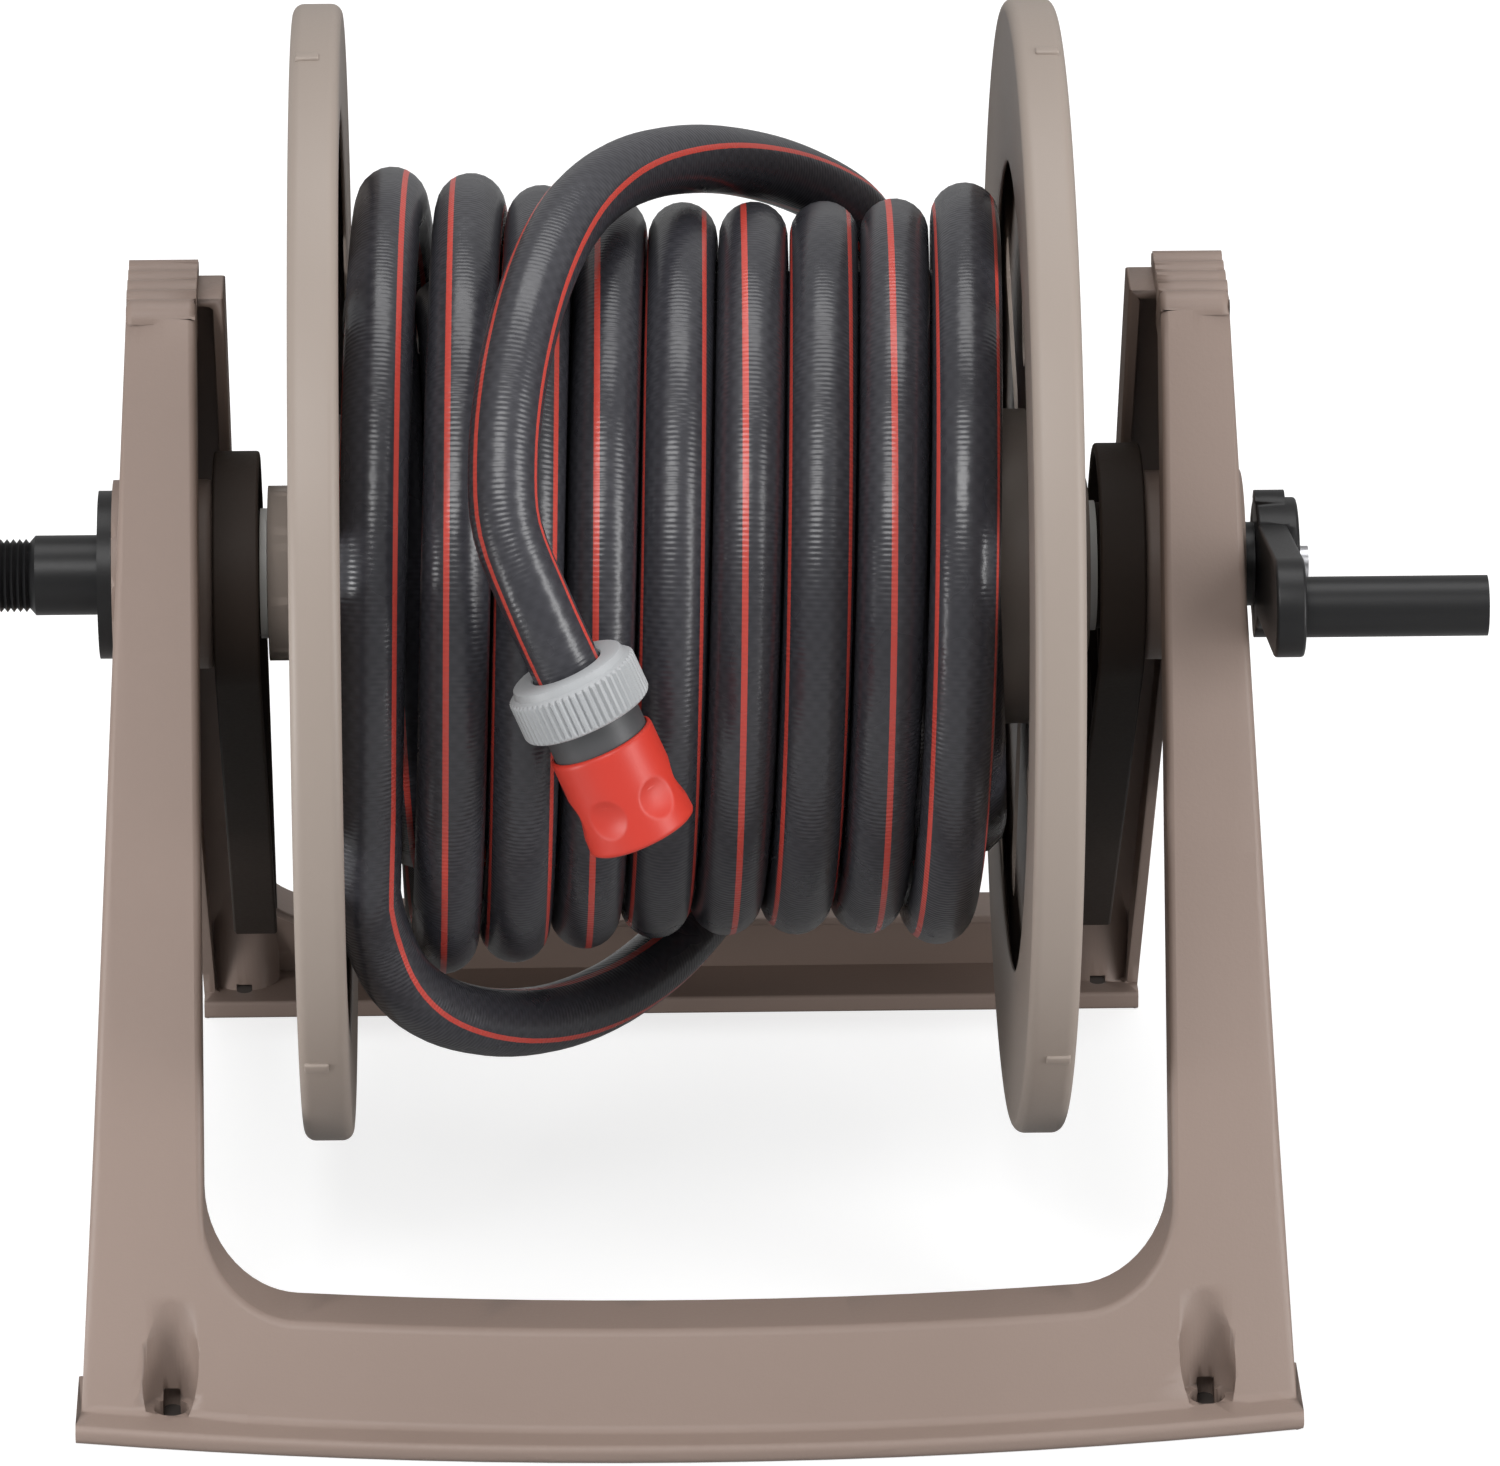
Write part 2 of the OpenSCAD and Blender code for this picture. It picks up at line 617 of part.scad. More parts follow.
// Inlet: a fixed nipple whose spigot runs inside the turning spindle
module inlet_nipple() color("#1e1e20") in_frame() left_side() at_axle() difference() {
  union() {
    translate([0, 0, spigot_in_x]) cylinder(r = spigot_r, h = plate_x - spigot_in_x + plate_t);
    translate([0, 0, plate_x]) cylinder(r = plate_r, h = plate_t);
    translate([0, 0, neck_x]) cylinder(d = neck_d, h = neck_l - thread_pitch);
    translate([0, 0, thread_x - thread_pitch])
      cylinder(d1 = neck_d, d2 = 2 * thread_root_r, h = thread_pitch);
    translate([0, 0, thread_x]) cylinder(r = thread_root_r, h = thread_l);
    for (i = [0:floor(thread_l / thread_pitch) - 1]) translate([0, 0, thread_x + i * thread_pitch]) {
      cylinder(r1 = thread_root_r, d2 = thread_d, h = thread_pitch / 2);
      translate([0, 0, thread_pitch / 2]) cylinder(d1 = thread_d, r2 = thread_root_r, h = thread_pitch / 2);
    }
  }
  translate([0, 0, spigot_in_x - cut]) cylinder(d = inlet_bore, h = inlet_x - spigot_in_x + 2 * cut);
  for (x = o_ring_x) translate([0, 0, x - o_groove_w / 2]) difference() {
    cylinder(r = spigot_r + cut, h = o_groove_w);
    cylinder(r = o_groove_r, h = o_groove_w);
  }
  rotate([0, 0, 180]) on_boss(screw_angles, inlet_screw_r) {
    translate([0, 0, plate_x - cut]) cylinder(r = screw_r + screw_gap, h = plate_t + 2 * cut);
    translate([0, 0, inlet_seat_x - screw_gap]) cylinder(r = screw_head_r + screw_gap, h = plate_t);
  }
}
module inlet_o_rings() color("#101010") in_frame() left_side() at_axle()
  for (x = o_ring_x) translate([0, 0, x])
    rotate_extrude() translate([o_groove_r + o_section_r, 0]) circle(o_section_r, $fn = 24);

// Drum: two flanges screwed to a barrel
module spoke_window() linear_extrude(web_t + 2 * cut) {
  for (r = [window_in_r, window_out_r]) translate([r, 0]) circle(d = window_w);
  translate([window_in_r, -window_w / 2]) square([window_out_r - window_in_r, window_w]);
}
module on_screw_circle() for (i = [0:flange_screw_count - 1])
  rotate([0, 0, (i + flange_screw_share) * 360 / flange_screw_count]) translate([post_at_r, 0, 0]) children();
module flange() at_axle() difference() {
  union() {
    translate([0, 0, web_x]) cylinder(r = flange_r - rim_t / 2, h = web_t);
    translate([0, 0, web_x]) cylinder(r = hub_r, h = hub_end_x - web_x);
    rotate_extrude($fn = 180) {
      translate([flange_r - rim_t, rim_x]) square([rim_t, rim_w]);
      translate([bead_r, web_x]) square([bead_t, web_t + bead_h]);
    }
    for (i = [0:spokes - 1]) rotate([0, 0, i * 360 / spokes])
      translate([hub_r - rib_t, -rib_t / 2, web_x])
        cube([flange_r - rim_t / 2 - hub_r + rib_t, rib_t, web_t + flange_rib_h]);
    for (a = tab_angles) rotate([0, 0, -90 - a])
      translate([flange_r - rim_t / 2, -tab_w / 2, rim_x + rim_w * (1 - tab_share)])
        cube([rim_t / 2 + tab_h, tab_w, rim_w * tab_share]);
  }
  translate([0, 0, web_x - cut]) cylinder(r = journal_r + bush_fit, h = hub_end_x);
  for (i = [0:spokes - 1]) rotate([0, 0, (i + half_step_share) * 360 / spokes])
    translate([0, 0, web_x - cut]) spoke_window();
  translate([0, 0, web_x - cut]) on_screw_circle() cylinder(r = screw_r + screw_gap, h = web_t + 2 * cut);
}
module right_flange() color("#b9b0a6") in_frame() flange();
module left_flange() color("#b9b0a6") in_frame() left_side() flange();
module barrel() color("#b0a79d") in_frame() difference() {
  at_axle() translate([0, 0, -web_x]) cylinder(r = barrel_r, h = 2 * web_x);
  at_axle() translate([0, 0, -web_x - cut]) cylinder(r = barrel_end_r, h = 2 * web_x + 2 * cut);
  at_axle() translate([0, 0, -web_x + barrel_end_l])
    cylinder(r = barrel_in_r, h = 2 * (web_x - barrel_end_l));
  both_sides() at_axle() translate([0, 0, web_x - flange_screw_l]) on_screw_circle()
    cylinder(r = screw_r + screw_gap, h = flange_screw_l + cut);
  translate([-branch_x, 0, axle_h]) cylinder(r = lead_r + clear, h = 2 * barrel_r);
}
module flange_screws() color("#b8b8b8") in_frame() both_sides() at_axle()
  translate([0, 0, web_x + web_t]) mirror([0, 0, 1]) on_screw_circle() screw(flange_screw_l);

module water_spindle() color("#26262a") in_frame() difference() {
  union() {
    left_side() at_axle() {
      translate([0, 0, spindle_in_x]) cylinder(r = journal_r, h = spindle_out_x - spindle_in_x);
      translate([0, 0, web_x - seat - collar_t]) cylinder(r = collar_r, h = collar_t);
    }
    translate([-branch_x, 0, axle_h]) {
      cylinder(r = barb_r + barb_rise, h = barb_in_r);
      cylinder(r = barb_r, h = barb_in_r + barb_l);
      for (i = [0:barb_count - 1]) translate([0, 0, barb_in_r + i * barb_step])
        cylinder(r1 = barb_r + barb_rise, r2 = barb_r, h = barb_step);
    }
  }
  left_side() at_axle() translate([0, 0, spindle_in_x + spindle_wall])
    cylinder(r = spindle_bore_r, h = spindle_out_x);
  translate([-branch_x, 0, axle_h]) cylinder(r = barb_bore_r, h = barb_in_r + barb_l + cut);
}
module hose_lead_in() color("#3c3d42") in_frame() intersection() {
  translate([-branch_x, 0, axle_h + barb_in_r + seat]) difference() {
    cylinder(r = lead_r, h = barrel_r);
    translate([0, 0, -cut]) cylinder(r = barb_r + barb_rise + bush_fit, h = barrel_r + 2 * cut);
  }
  at_axle() translate([0, 0, -web_x]) cylinder(r = barrel_r, h = web_x);
}
module hose_clip() color("#c4c6c8") in_frame()
  translate([-branch_x, 0, axle_h + barb_in_r + clip_t]) difference() {
    union() {
      cylinder(r = lead_r + clip_t, h = clip_w);
      translate([lead_r, -clip_w / 4, 0]) cube([clip_w, clip_w / 2, clip_w]);
    }
    translate([0, 0, -cut]) cylinder(r = lead_r + bush_fit, h = clip_w + 2 * cut);
  }

// Hose: inner layers as a plain core, the outer layer as one tube, and the free end
function core_r(x) = let (turn = (x - first_gap - first_turn_x) / hose_pitch) wind_r - hose_d / 2 - core_gap
  + left_rise * ease(1 - (turn + half_step_share) / left_turns)
  + right_rise * ease((turn - half_step_share - right_from) / right_turns);
core_half_w = web_x - clear;
core_steps = 9;
core_outline = concat([[barrel_r + clear, core_half_w], [barrel_r + clear, -core_half_w]],
  [for (i = [0:core_steps]) let (x = core_half_w * (2 * i / core_steps - 1)) [core_r(x), x]]);
module hose_core() color("#2b2c30") in_frame() at_axle() rotate_extrude($fn = 144) polygon(core_outline);
module hose_winding() color("#3c3d42") in_frame() tube(winding_path, winding_sides, hose_d / 2);
module hose_tail() color("#3c3d42") in_frame() tube(tail_path, tail_sides, hose_d / 2);

// Crank, on the square end of its shaft
crank_turn = 90 - crank_angle;
module in_crank() translate([0, 0, axle_h]) rotate([crank_turn, 0, 0]) children();
module crank_shaft() color("#26262a") in_frame() at_axle() difference() {
  union() {
    translate([0, 0, shaft_in_x]) cylinder(r = journal_r, h = shaft_out_x - shaft_in_x);
    translate([0, 0, web_x - seat - collar_t]) cylinder(r = collar_r, h = collar_t);
    rotate([0, 0, -crank_angle]) translate([-square_w / 2, -square_w / 2, shaft_out_x])
      cube([square_w, square_w, square_l]);
  }
  translate([0, 0, crank_x + crank_hub_w - crank_screw_l])
    cylinder(r = crank_screw_r + screw_gap, h = crank_screw_l + cut);
}
module crank_2d() {
  polygon([[-crank_hub_r * lobe_at_share, 0], [crank_hub_r * lobe_at_share, 0],
    [crank_end_r, crank_r], [-crank_end_r, crank_r]]);
  translate([0, crank_r]) circle(crank_end_r);
}
module crank() color("#1c1c1e") in_frame() in_crank() difference() {
  union() {
    translate([crank_x, 0, 0]) side_plate(crank_w) crank_2d();
    translate([crank_x, 0, 0]) rotate([0, 90, 0]) cylinder(r = crank_hub_r, h = crank_hub_w);
    translate([crank_x, 0, 0]) side_plate(crank_w) for (s = [-1, 1])
      translate([s * lobe_at_share * crank_hub_r, 0]) circle(lobe_r);
    translate([crank_out_x - crank_w / 2, 0, crank_r]) rotate([0, 90, 0])
      cylinder(r = pin_r, h = pin_l + crank_w / 2);
  }
  translate([crank_x - cut, -square_w / 2 - bush_fit, -square_w / 2 - bush_fit])
    cube([square_l - clear + cut + bush_fit, square_w + 2 * bush_fit, square_w + 2 * bush_fit]);
  translate([crank_x, 0, 0]) rotate([0, 90, 0])
    cylinder(r = crank_screw_r + screw_gap, h = crank_hub_w + cut);
  translate([crank_out_x + pin_l - grip_screw_l, 0, crank_r]) rotate([0, 90, 0])
    cylinder(r = screw_r + screw_gap, h = grip_screw_l + cut);
}
module crank_screw() color("#b8b8b8") in_frame() at_axle() translate([0, 0, crank_x + crank_hub_w]) {
  translate([0, 0, -crank_screw_l + screw_gap]) cylinder(r = crank_screw_r, h = crank_screw_l);
  cylinder(r = crank_head_r, h = crank_head_h);
}
module along_grip(x) in_frame() in_crank() translate([x, 0, crank_r]) rotate([0, 90, 0]) children();
module crank_grip() color("#222224") along_grip(grip_x) difference() {
  cylinder(d = grip_d, h = grip_l);
  translate([0, 0, -cut]) cylinder(r = pin_r + pin_gap, h = grip_l);
  translate([0, 0, pin_l - 2 * clear]) cylinder(r = grip_recess_r, h = grip_l);
}
module grip_cap() color("#1c1c1e") along_grip(grip_end_x - cap_t)
  cylinder(r = grip_recess_r - bush_fit, h = cap_t);
module grip_screw() color("#b8b8b8") along_grip(crank_out_x + pin_l) {
  translate([0, 0, -grip_screw_l + screw_gap]) cylinder(r = screw_r, h = grip_screw_l);
  cylinder(r = grip_head_r, h = grip_head_h);
}

// Hose-end connector
neck_r = 13.6;
nut_bore_r = 14;
nut_mouth = 4;
nut_flutes = 40;
flute_r = 0.9;
claw_l = 4.5;
claw_slits = 6;
claw_slit_w = 1.5;
body_start = sink + seat;
barrel_out_r = 11.4;
neck_gap = 2 * sleeve_travel;
sleeve_start = nut_l + neck_gap;
sleeve_end = sleeve_start + sleeve_l;
shoulder_in = 8;
body_shoulder = sleeve_start + shoulder_in;
spring_solid = 3;
sleeve_step = body_shoulder + sleeve_travel + spring_solid;
sleeve_in_r = neck_r + clear;
mouth_recess = 3;
body_end = sleeve_end - mouth_recess;
socket_r = 8;
socket_l = 20;
body_bore_r = 5.5;
ring_section_r = 1.2;
spring_wire_r = 0.6;
spring_turns = 3;
spring_rings = 16;
spring_r = (barrel_out_r + neck_r) / 2;
module on_connector() in_frame() translate(connector_mouth)
  rotate([0, acos(connector_axis[2]), atan2(connector_axis[1], connector_axis[0])]) children();
module connector_nut() color("#96999c") on_connector() difference() {
  cylinder(d = nut_d, h = nut_l);
  translate([0, 0, -cut]) cylinder(r = hose_d / 2 + clear, h = nut_l + 2 * cut);
  translate([0, 0, nut_mouth]) cylinder(r = nut_bore_r, h = nut_l);
  for (i = [0:nut_flutes - 1]) rotate([0, 0, i * 360 / nut_flutes])
    translate([nut_d / 2 + flute_r / 4, 0, nut_mouth / 2]) cylinder(r = flute_r, h = nut_l, $fn = 16);
}
module grip_claws() color("#e4e4e0") on_connector() translate([0, 0, nut_mouth + seat]) difference() {
  cylinder(r = nut_bore_r - seat, h = claw_l);
  translate([0, 0, -cut]) cylinder(r = hose_d / 2 + clear, h = claw_l + 2 * cut);
  for (i = [0:claw_slits - 1]) rotate([0, 0, i * 360 / claw_slits])
    translate([0, -claw_slit_w / 2, claw_l / 2]) cube([nut_bore_r, claw_slit_w, claw_l]);
}
module connector_body() color("#55565a") on_connector() difference() {
  union() {
    translate([0, 0, body_start]) cylinder(r = neck_r, h = body_shoulder - body_start);
    translate([0, 0, body_start]) cylinder(r = barrel_out_r, h = body_end - body_start);
  }
  translate([0, 0, body_start - cut]) cylinder(r = body_bore_r, h = body_end);
  translate([0, 0, body_end - socket_l]) cylinder(r = socket_r, h = socket_l + cut);
}
module connector_o_ring() color("#141414") on_connector()
  translate([0, 0, body_end - socket_l + ring_section_r]) rotate_extrude()
    translate([socket_r - ring_section_r - bush_fit, 0]) circle(ring_section_r, $fn = 24);
module release_sleeve() color("#e23a2e") on_connector() difference() {
  translate([0, 0, sleeve_start]) cylinder(d = sleeve_d, h = sleeve_l);
  translate([0, 0, sleeve_start - cut]) cylinder(r = barrel_out_r + clear, h = sleeve_l + 2 * cut);
  translate([0, 0, sleeve_start - cut]) cylinder(r = sleeve_in_r, h = sleeve_step - sleeve_start + cut);
}
spring_low = body_shoulder + spring_wire_r + clear / 2;
spring_high = sleeve_step - spring_wire_r - clear / 2;
spring_path = [for (i = [0:spring_turns * spring_rings]) let (a = 360 * i / spring_rings)
  [spring_r * cos(a), spring_r * sin(a),
    spring_low + (spring_high - spring_low) * i / (spring_turns * spring_rings)]];
module sleeve_spring() color("#c8c8c8") on_connector()
  tube(spring_path, winding_sides, spring_wire_r, [0, 0, 1]);

front_frame();
rear_frame();
left_bearing_arm();
right_bearing_arm();
left_bush();
right_bush();
arm_screws();
frame_screws();
inlet_nipple();
inlet_o_rings();
inlet_screws();
left_flange();
right_flange();
barrel();
flange_screws();
water_spindle();
crank_shaft();
hose_lead_in();
hose_clip();
hose_core();
hose_winding();
hose_tail();
crank();
crank_screw();
crank_grip();
grip_cap();
grip_screw();
connector_nut();
connector_body();
grip_claws();
connector_o_ring();
release_sleeve();
sleeve_spring();
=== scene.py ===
"""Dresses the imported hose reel: rounded mouldings, the wound hose and its free end, the hose-end
connector and the studio round them."""

import logging
import math
from dataclasses import dataclass, field
from enum import Enum
from functools import partial
from itertools import accumulate

import bmesh
import bpy
from mathutils import Matrix, Vector


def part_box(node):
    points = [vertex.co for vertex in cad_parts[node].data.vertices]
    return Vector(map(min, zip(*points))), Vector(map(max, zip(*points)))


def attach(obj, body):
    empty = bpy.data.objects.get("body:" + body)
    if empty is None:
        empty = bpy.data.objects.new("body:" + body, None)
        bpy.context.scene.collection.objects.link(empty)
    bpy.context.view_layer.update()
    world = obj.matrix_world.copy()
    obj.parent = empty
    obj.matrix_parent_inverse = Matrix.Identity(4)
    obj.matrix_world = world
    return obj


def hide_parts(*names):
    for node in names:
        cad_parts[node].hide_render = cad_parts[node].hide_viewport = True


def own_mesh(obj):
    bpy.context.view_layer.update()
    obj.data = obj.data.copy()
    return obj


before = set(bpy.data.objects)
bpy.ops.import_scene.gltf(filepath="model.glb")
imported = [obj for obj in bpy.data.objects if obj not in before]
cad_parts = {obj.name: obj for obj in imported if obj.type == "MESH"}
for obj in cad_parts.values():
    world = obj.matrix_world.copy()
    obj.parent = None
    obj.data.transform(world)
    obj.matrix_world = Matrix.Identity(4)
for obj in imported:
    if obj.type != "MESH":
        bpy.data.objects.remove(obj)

LOG = logging.getLogger("hose_reel")
MM = 0.001
WELD = 2e-6
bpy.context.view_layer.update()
Colour = tuple[float, float, float]


class Body(Enum):
    """The moving bodies of the reel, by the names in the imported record."""

    STAND = "stand"
    DRUM = "drum"
    GRIP = "grip"
    SLEEVE = "sleeve"


@dataclass(frozen=True)
class Axle:
    """The axle's place: the part's frame is shifted from the middle of the stand.

    Attributes:
        mid: Where the part's origin lies from the middle of the stand, in millimetres.
        height: Height of the axle above the floor, in millimetres.
    """

    mid: tuple[float, float] = (14.3, -6.5)
    height: float = 197.0

    def point(self, x: float, y: float, z: float) -> Vector:
        """Turns a point in the stand's millimetres into the part's metres.

        Args:
            x: Distance along the axle from the middle of the drum.
            y: Distance towards the back from the axle's plane.
            z: Height above the floor.

        Returns:
            The point in the part's frame, in metres.
        """
        return Vector((x - self.mid[0], y - self.mid[1], z)) * MM

    def round(self, x: float, degrees: float, radius: float) -> Vector:
        """Gives a point on a circle round the axle.

        Args:
            x: Distance along the axle, in millimetres.
            degrees: Angle from the front, upwards.
            radius: Distance from the axle, in millimetres.

        Returns:
            The point in the part's frame, in metres.
        """
        a = math.radians(degrees)
        return self.point(x, -radius * math.cos(a), self.height + radius * math.sin(a))

    def centre(self) -> Vector:
        """Gives the middle of the drum in the part's frame, in metres."""
        return self.point(0, 0, self.height)


AXLE = Axle()


def smooth_step(t: float) -> float:
    """Eases a share between 0 and 1 with a half cosine."""
    return (1 - math.cos(math.pi * min(1.0, max(0.0, t)))) / 2


def add_object(name: str, data: bpy.types.ID) -> bpy.types.Object:
    """Makes an object and puts it in the scene.

    Args:
        name: The object's name.
        data: Its mesh, curve, light or camera.

    Returns:
        The new object, at the origin.
    """
    thing = bpy.data.objects.new(name, data)
    bpy.context.scene.collection.objects.link(thing)
    return thing


def new_piece(name: str, bm: bmesh.types.BMesh, body: Body, finish: "Finish | HoseFinish",
              sharp_degrees: float) -> bpy.types.Object:
    """Makes a mesh into a piece that rides on a body.

    Args:
        name: The piece's name.
        bm: The finished mesh, which is freed.
        body: The body that carries the piece.
        finish: The finish of its surface.
        sharp_degrees: Faces that meet at a larger angle keep a sharp edge.

    Returns:
        The new object.
    """
    mesh = bpy.data.meshes.new(name)
    bm.to_mesh(mesh)
    bm.free()
    mesh.polygons.foreach_set("use_smooth", [True] * len(mesh.polygons))
    mesh.set_sharp_from_angle(angle=math.radians(sharp_degrees))
    mesh.materials.append(finish.material())
    piece = add_object(name, mesh)
    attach(piece, body.value)
    LOG.info("piece %s: %d faces", name, len(mesh.polygons))
    return piece


def turned(profile: list[tuple[float, float]], steps: int) -> bmesh.types.BMesh:
    """Spins a closed profile of radius and height round its own axis.

    Args:
        profile: Corners as radius and height, in millimetres.
        steps: Facets round the axis.

    Returns:
        The closed ring as a mesh.
    """
    bm = bmesh.new()
    verts = [bm.verts.new((r * MM, 0, z * MM)) for r, z in profile]
    edges = [bm.edges.new((a, b)) for a, b in zip(verts, verts[1:] + verts[:1])]
    bmesh.ops.spin(bm, geom=verts + edges, cent=(0, 0, 0), axis=(0, 0, 1), angle=math.tau, steps=steps,
                   use_merge=True)
    bmesh.ops.remove_doubles(bm, verts=bm.verts[:], dist=WELD)
    bmesh.ops.recalc_face_normals(bm, faces=bm.faces[:])
    return bm


def feed(tree: bpy.types.NodeTree, node: bpy.types.Node, inputs: dict[str | int, object]) -> None:
    """Links a node's inputs to sockets or sets them to values.

    Args:
        tree: The tree that holds the node.
        node: The node.
        inputs: Sockets, numbers or colours by the inputs' names or places.
    """
    for key, value in inputs.items():
        if isinstance(value, bpy.types.NodeSocket):
            tree.links.new(value, node.inputs[key])
        else:
            node.inputs[key].default_value = value


def add_node(tree: bpy.types.NodeTree, kind: str, inputs: dict[str | int, object],
             **settings: object) -> bpy.types.Node:
    """Adds a shader node.

    Args:
        tree: The tree that gets the node.
        kind: The node's type, without the prefix that all shader nodes share.
        inputs: Sockets, numbers or colours for its inputs.
        **settings: Its other properties, which are set first.

    Returns:
        The new node.
    """
    node = tree.nodes.new("ShaderNode" + kind)
    for key, value in settings.items():
        setattr(node, key, value)
    feed(tree, node, inputs)
    return node


def math_node(tree: bpy.types.NodeTree, operation: str, *values: object) -> bpy.types.NodeSocket:
    """Adds a Math node fed by sockets or numbers, and gives its output."""
    return add_node(tree, "Math", dict(enumerate(values)), operation=operation).outputs["Value"]


def new_group(name: str, inputs: dict[str, str]) -> bpy.types.NodeTree:
    """Starts a shader group with the outputs Colour, Roughness and Height.

    Args:
        name: The group's name.
        inputs: The kind of each input, Color or Float.

    Returns:
        The group, still without nodes.
    """
    tree = bpy.data.node_groups.new(name, "ShaderNodeTree")
    outputs = {"Colour": "Color", "Roughness": "Float", "Height": "Float"}
    for way, sockets in (("INPUT", inputs), ("OUTPUT", outputs)):
        for socket, kind in sockets.items():
            tree.interface.new_socket(socket, in_out=way, socket_type="NodeSocket" + kind)
    return tree


def bumped_material(name: str, group: bpy.types.NodeTree, inputs: dict[str, object],
                    surface: dict[str, float], bump: dict[str, float]) -> bpy.types.Material:
    """Builds a material from a shader group.

    Args:
        name: The material's name.
        group: A group with the outputs Colour, Roughness and Height.
        inputs: The group's inputs.
        surface: Inputs of the surface shader that the group doesn't feed.
        bump: Strength of the relief and its distance in metres.

    Returns:
        The new material.
    """
    material = bpy.data.materials.new(name)
    material.use_nodes = True
    tree = material.node_tree
    skin = add_node(tree, "Group", inputs, node_tree=group)
    relief = add_node(tree, "Bump", {"Height": skin.outputs["Height"], **bump})
    feed(tree, tree.nodes["Principled BSDF"], {
        "Base Color": skin.outputs["Colour"], "Roughness": skin.outputs["Roughness"],
        "Normal": relief.outputs["Normal"], **surface})
    return material


@dataclass(frozen=True)
class Finish:
    """A moulded or drawn surface with a fine grain.

    Attributes:
        name: Name of the material.
        slot: The record's material slot; not used.
        tone: Main colour, linear.
        shade: Colour that the main one drifts to, linear.
        gloss: Roughness of the valleys.
        grain: Grains across a metre.
        relief: Strength of the grain's bump.
        metallic: Metallic share.
        specular: Specular level.
    """

    name: str
    slot: str
    tone: Colour
    shade: Colour
    gloss: float = 0.45
    grain: float = 1400.0
    relief: float = 0.12
    metallic: float = 0.0
    specular: float = 0.4

    GROUP = "mould_grain"
    FLOW = {"Scale": 9.0, "Detail": 4.0}
    GRAIN = {"Detail": 3.0, "Roughness": 0.65}
    GLOSS_SPREAD = 0.16
    DEPTH = 0.0002

    @classmethod
    def grain_group(cls) -> bpy.types.NodeTree:
        """Builds the spark-eroded grain that all mouldings share, once.

        Returns:
            A group with inputs Tone, Shade, Grain Scale and Gloss.
        """
        known = bpy.data.node_groups.get(cls.GROUP)
        if known:
            return known
        tree = new_group(cls.GROUP, {
            "Tone": "Color", "Shade": "Color", "Grain Scale": "Float", "Gloss": "Float"})
        inside, outside = tree.nodes.new("NodeGroupInput"), tree.nodes.new("NodeGroupOutput")
        spot = add_node(tree, "TexCoord", {}).outputs["Object"]
        flow = add_node(tree, "TexNoise", {"Vector": spot, **cls.FLOW}).outputs["Fac"]
        grain = add_node(tree, "TexNoise", {
            "Vector": spot, "Scale": inside.outputs["Grain Scale"], **cls.GRAIN}).outputs["Fac"]
        tone = add_node(tree, "Mix", {
            "Factor": flow, "A": inside.outputs["Tone"], "B": inside.outputs["Shade"]}, data_type="RGBA")
        gloss = math_node(tree, "MULTIPLY_ADD", grain, cls.GLOSS_SPREAD, inside.outputs["Gloss"])
        feed(tree, outside, {"Colour": tone.outputs["Result"], "Roughness": gloss, "Height": grain})
        return tree

    def material(self) -> bpy.types.Material:
        """Builds the material, or gives the one that is built already."""
        return bpy.data.materials.get(self.name) or bumped_material(
            self.name, self.grain_group(),
            {"Tone": (*self.tone, 1), "Shade": (*self.shade, 1), "Grain Scale": self.grain,
             "Gloss": self.gloss},
            {"Metallic": self.metallic, "Specular IOR Level": self.specular},
            {"Strength": self.relief, "Distance": self.DEPTH})


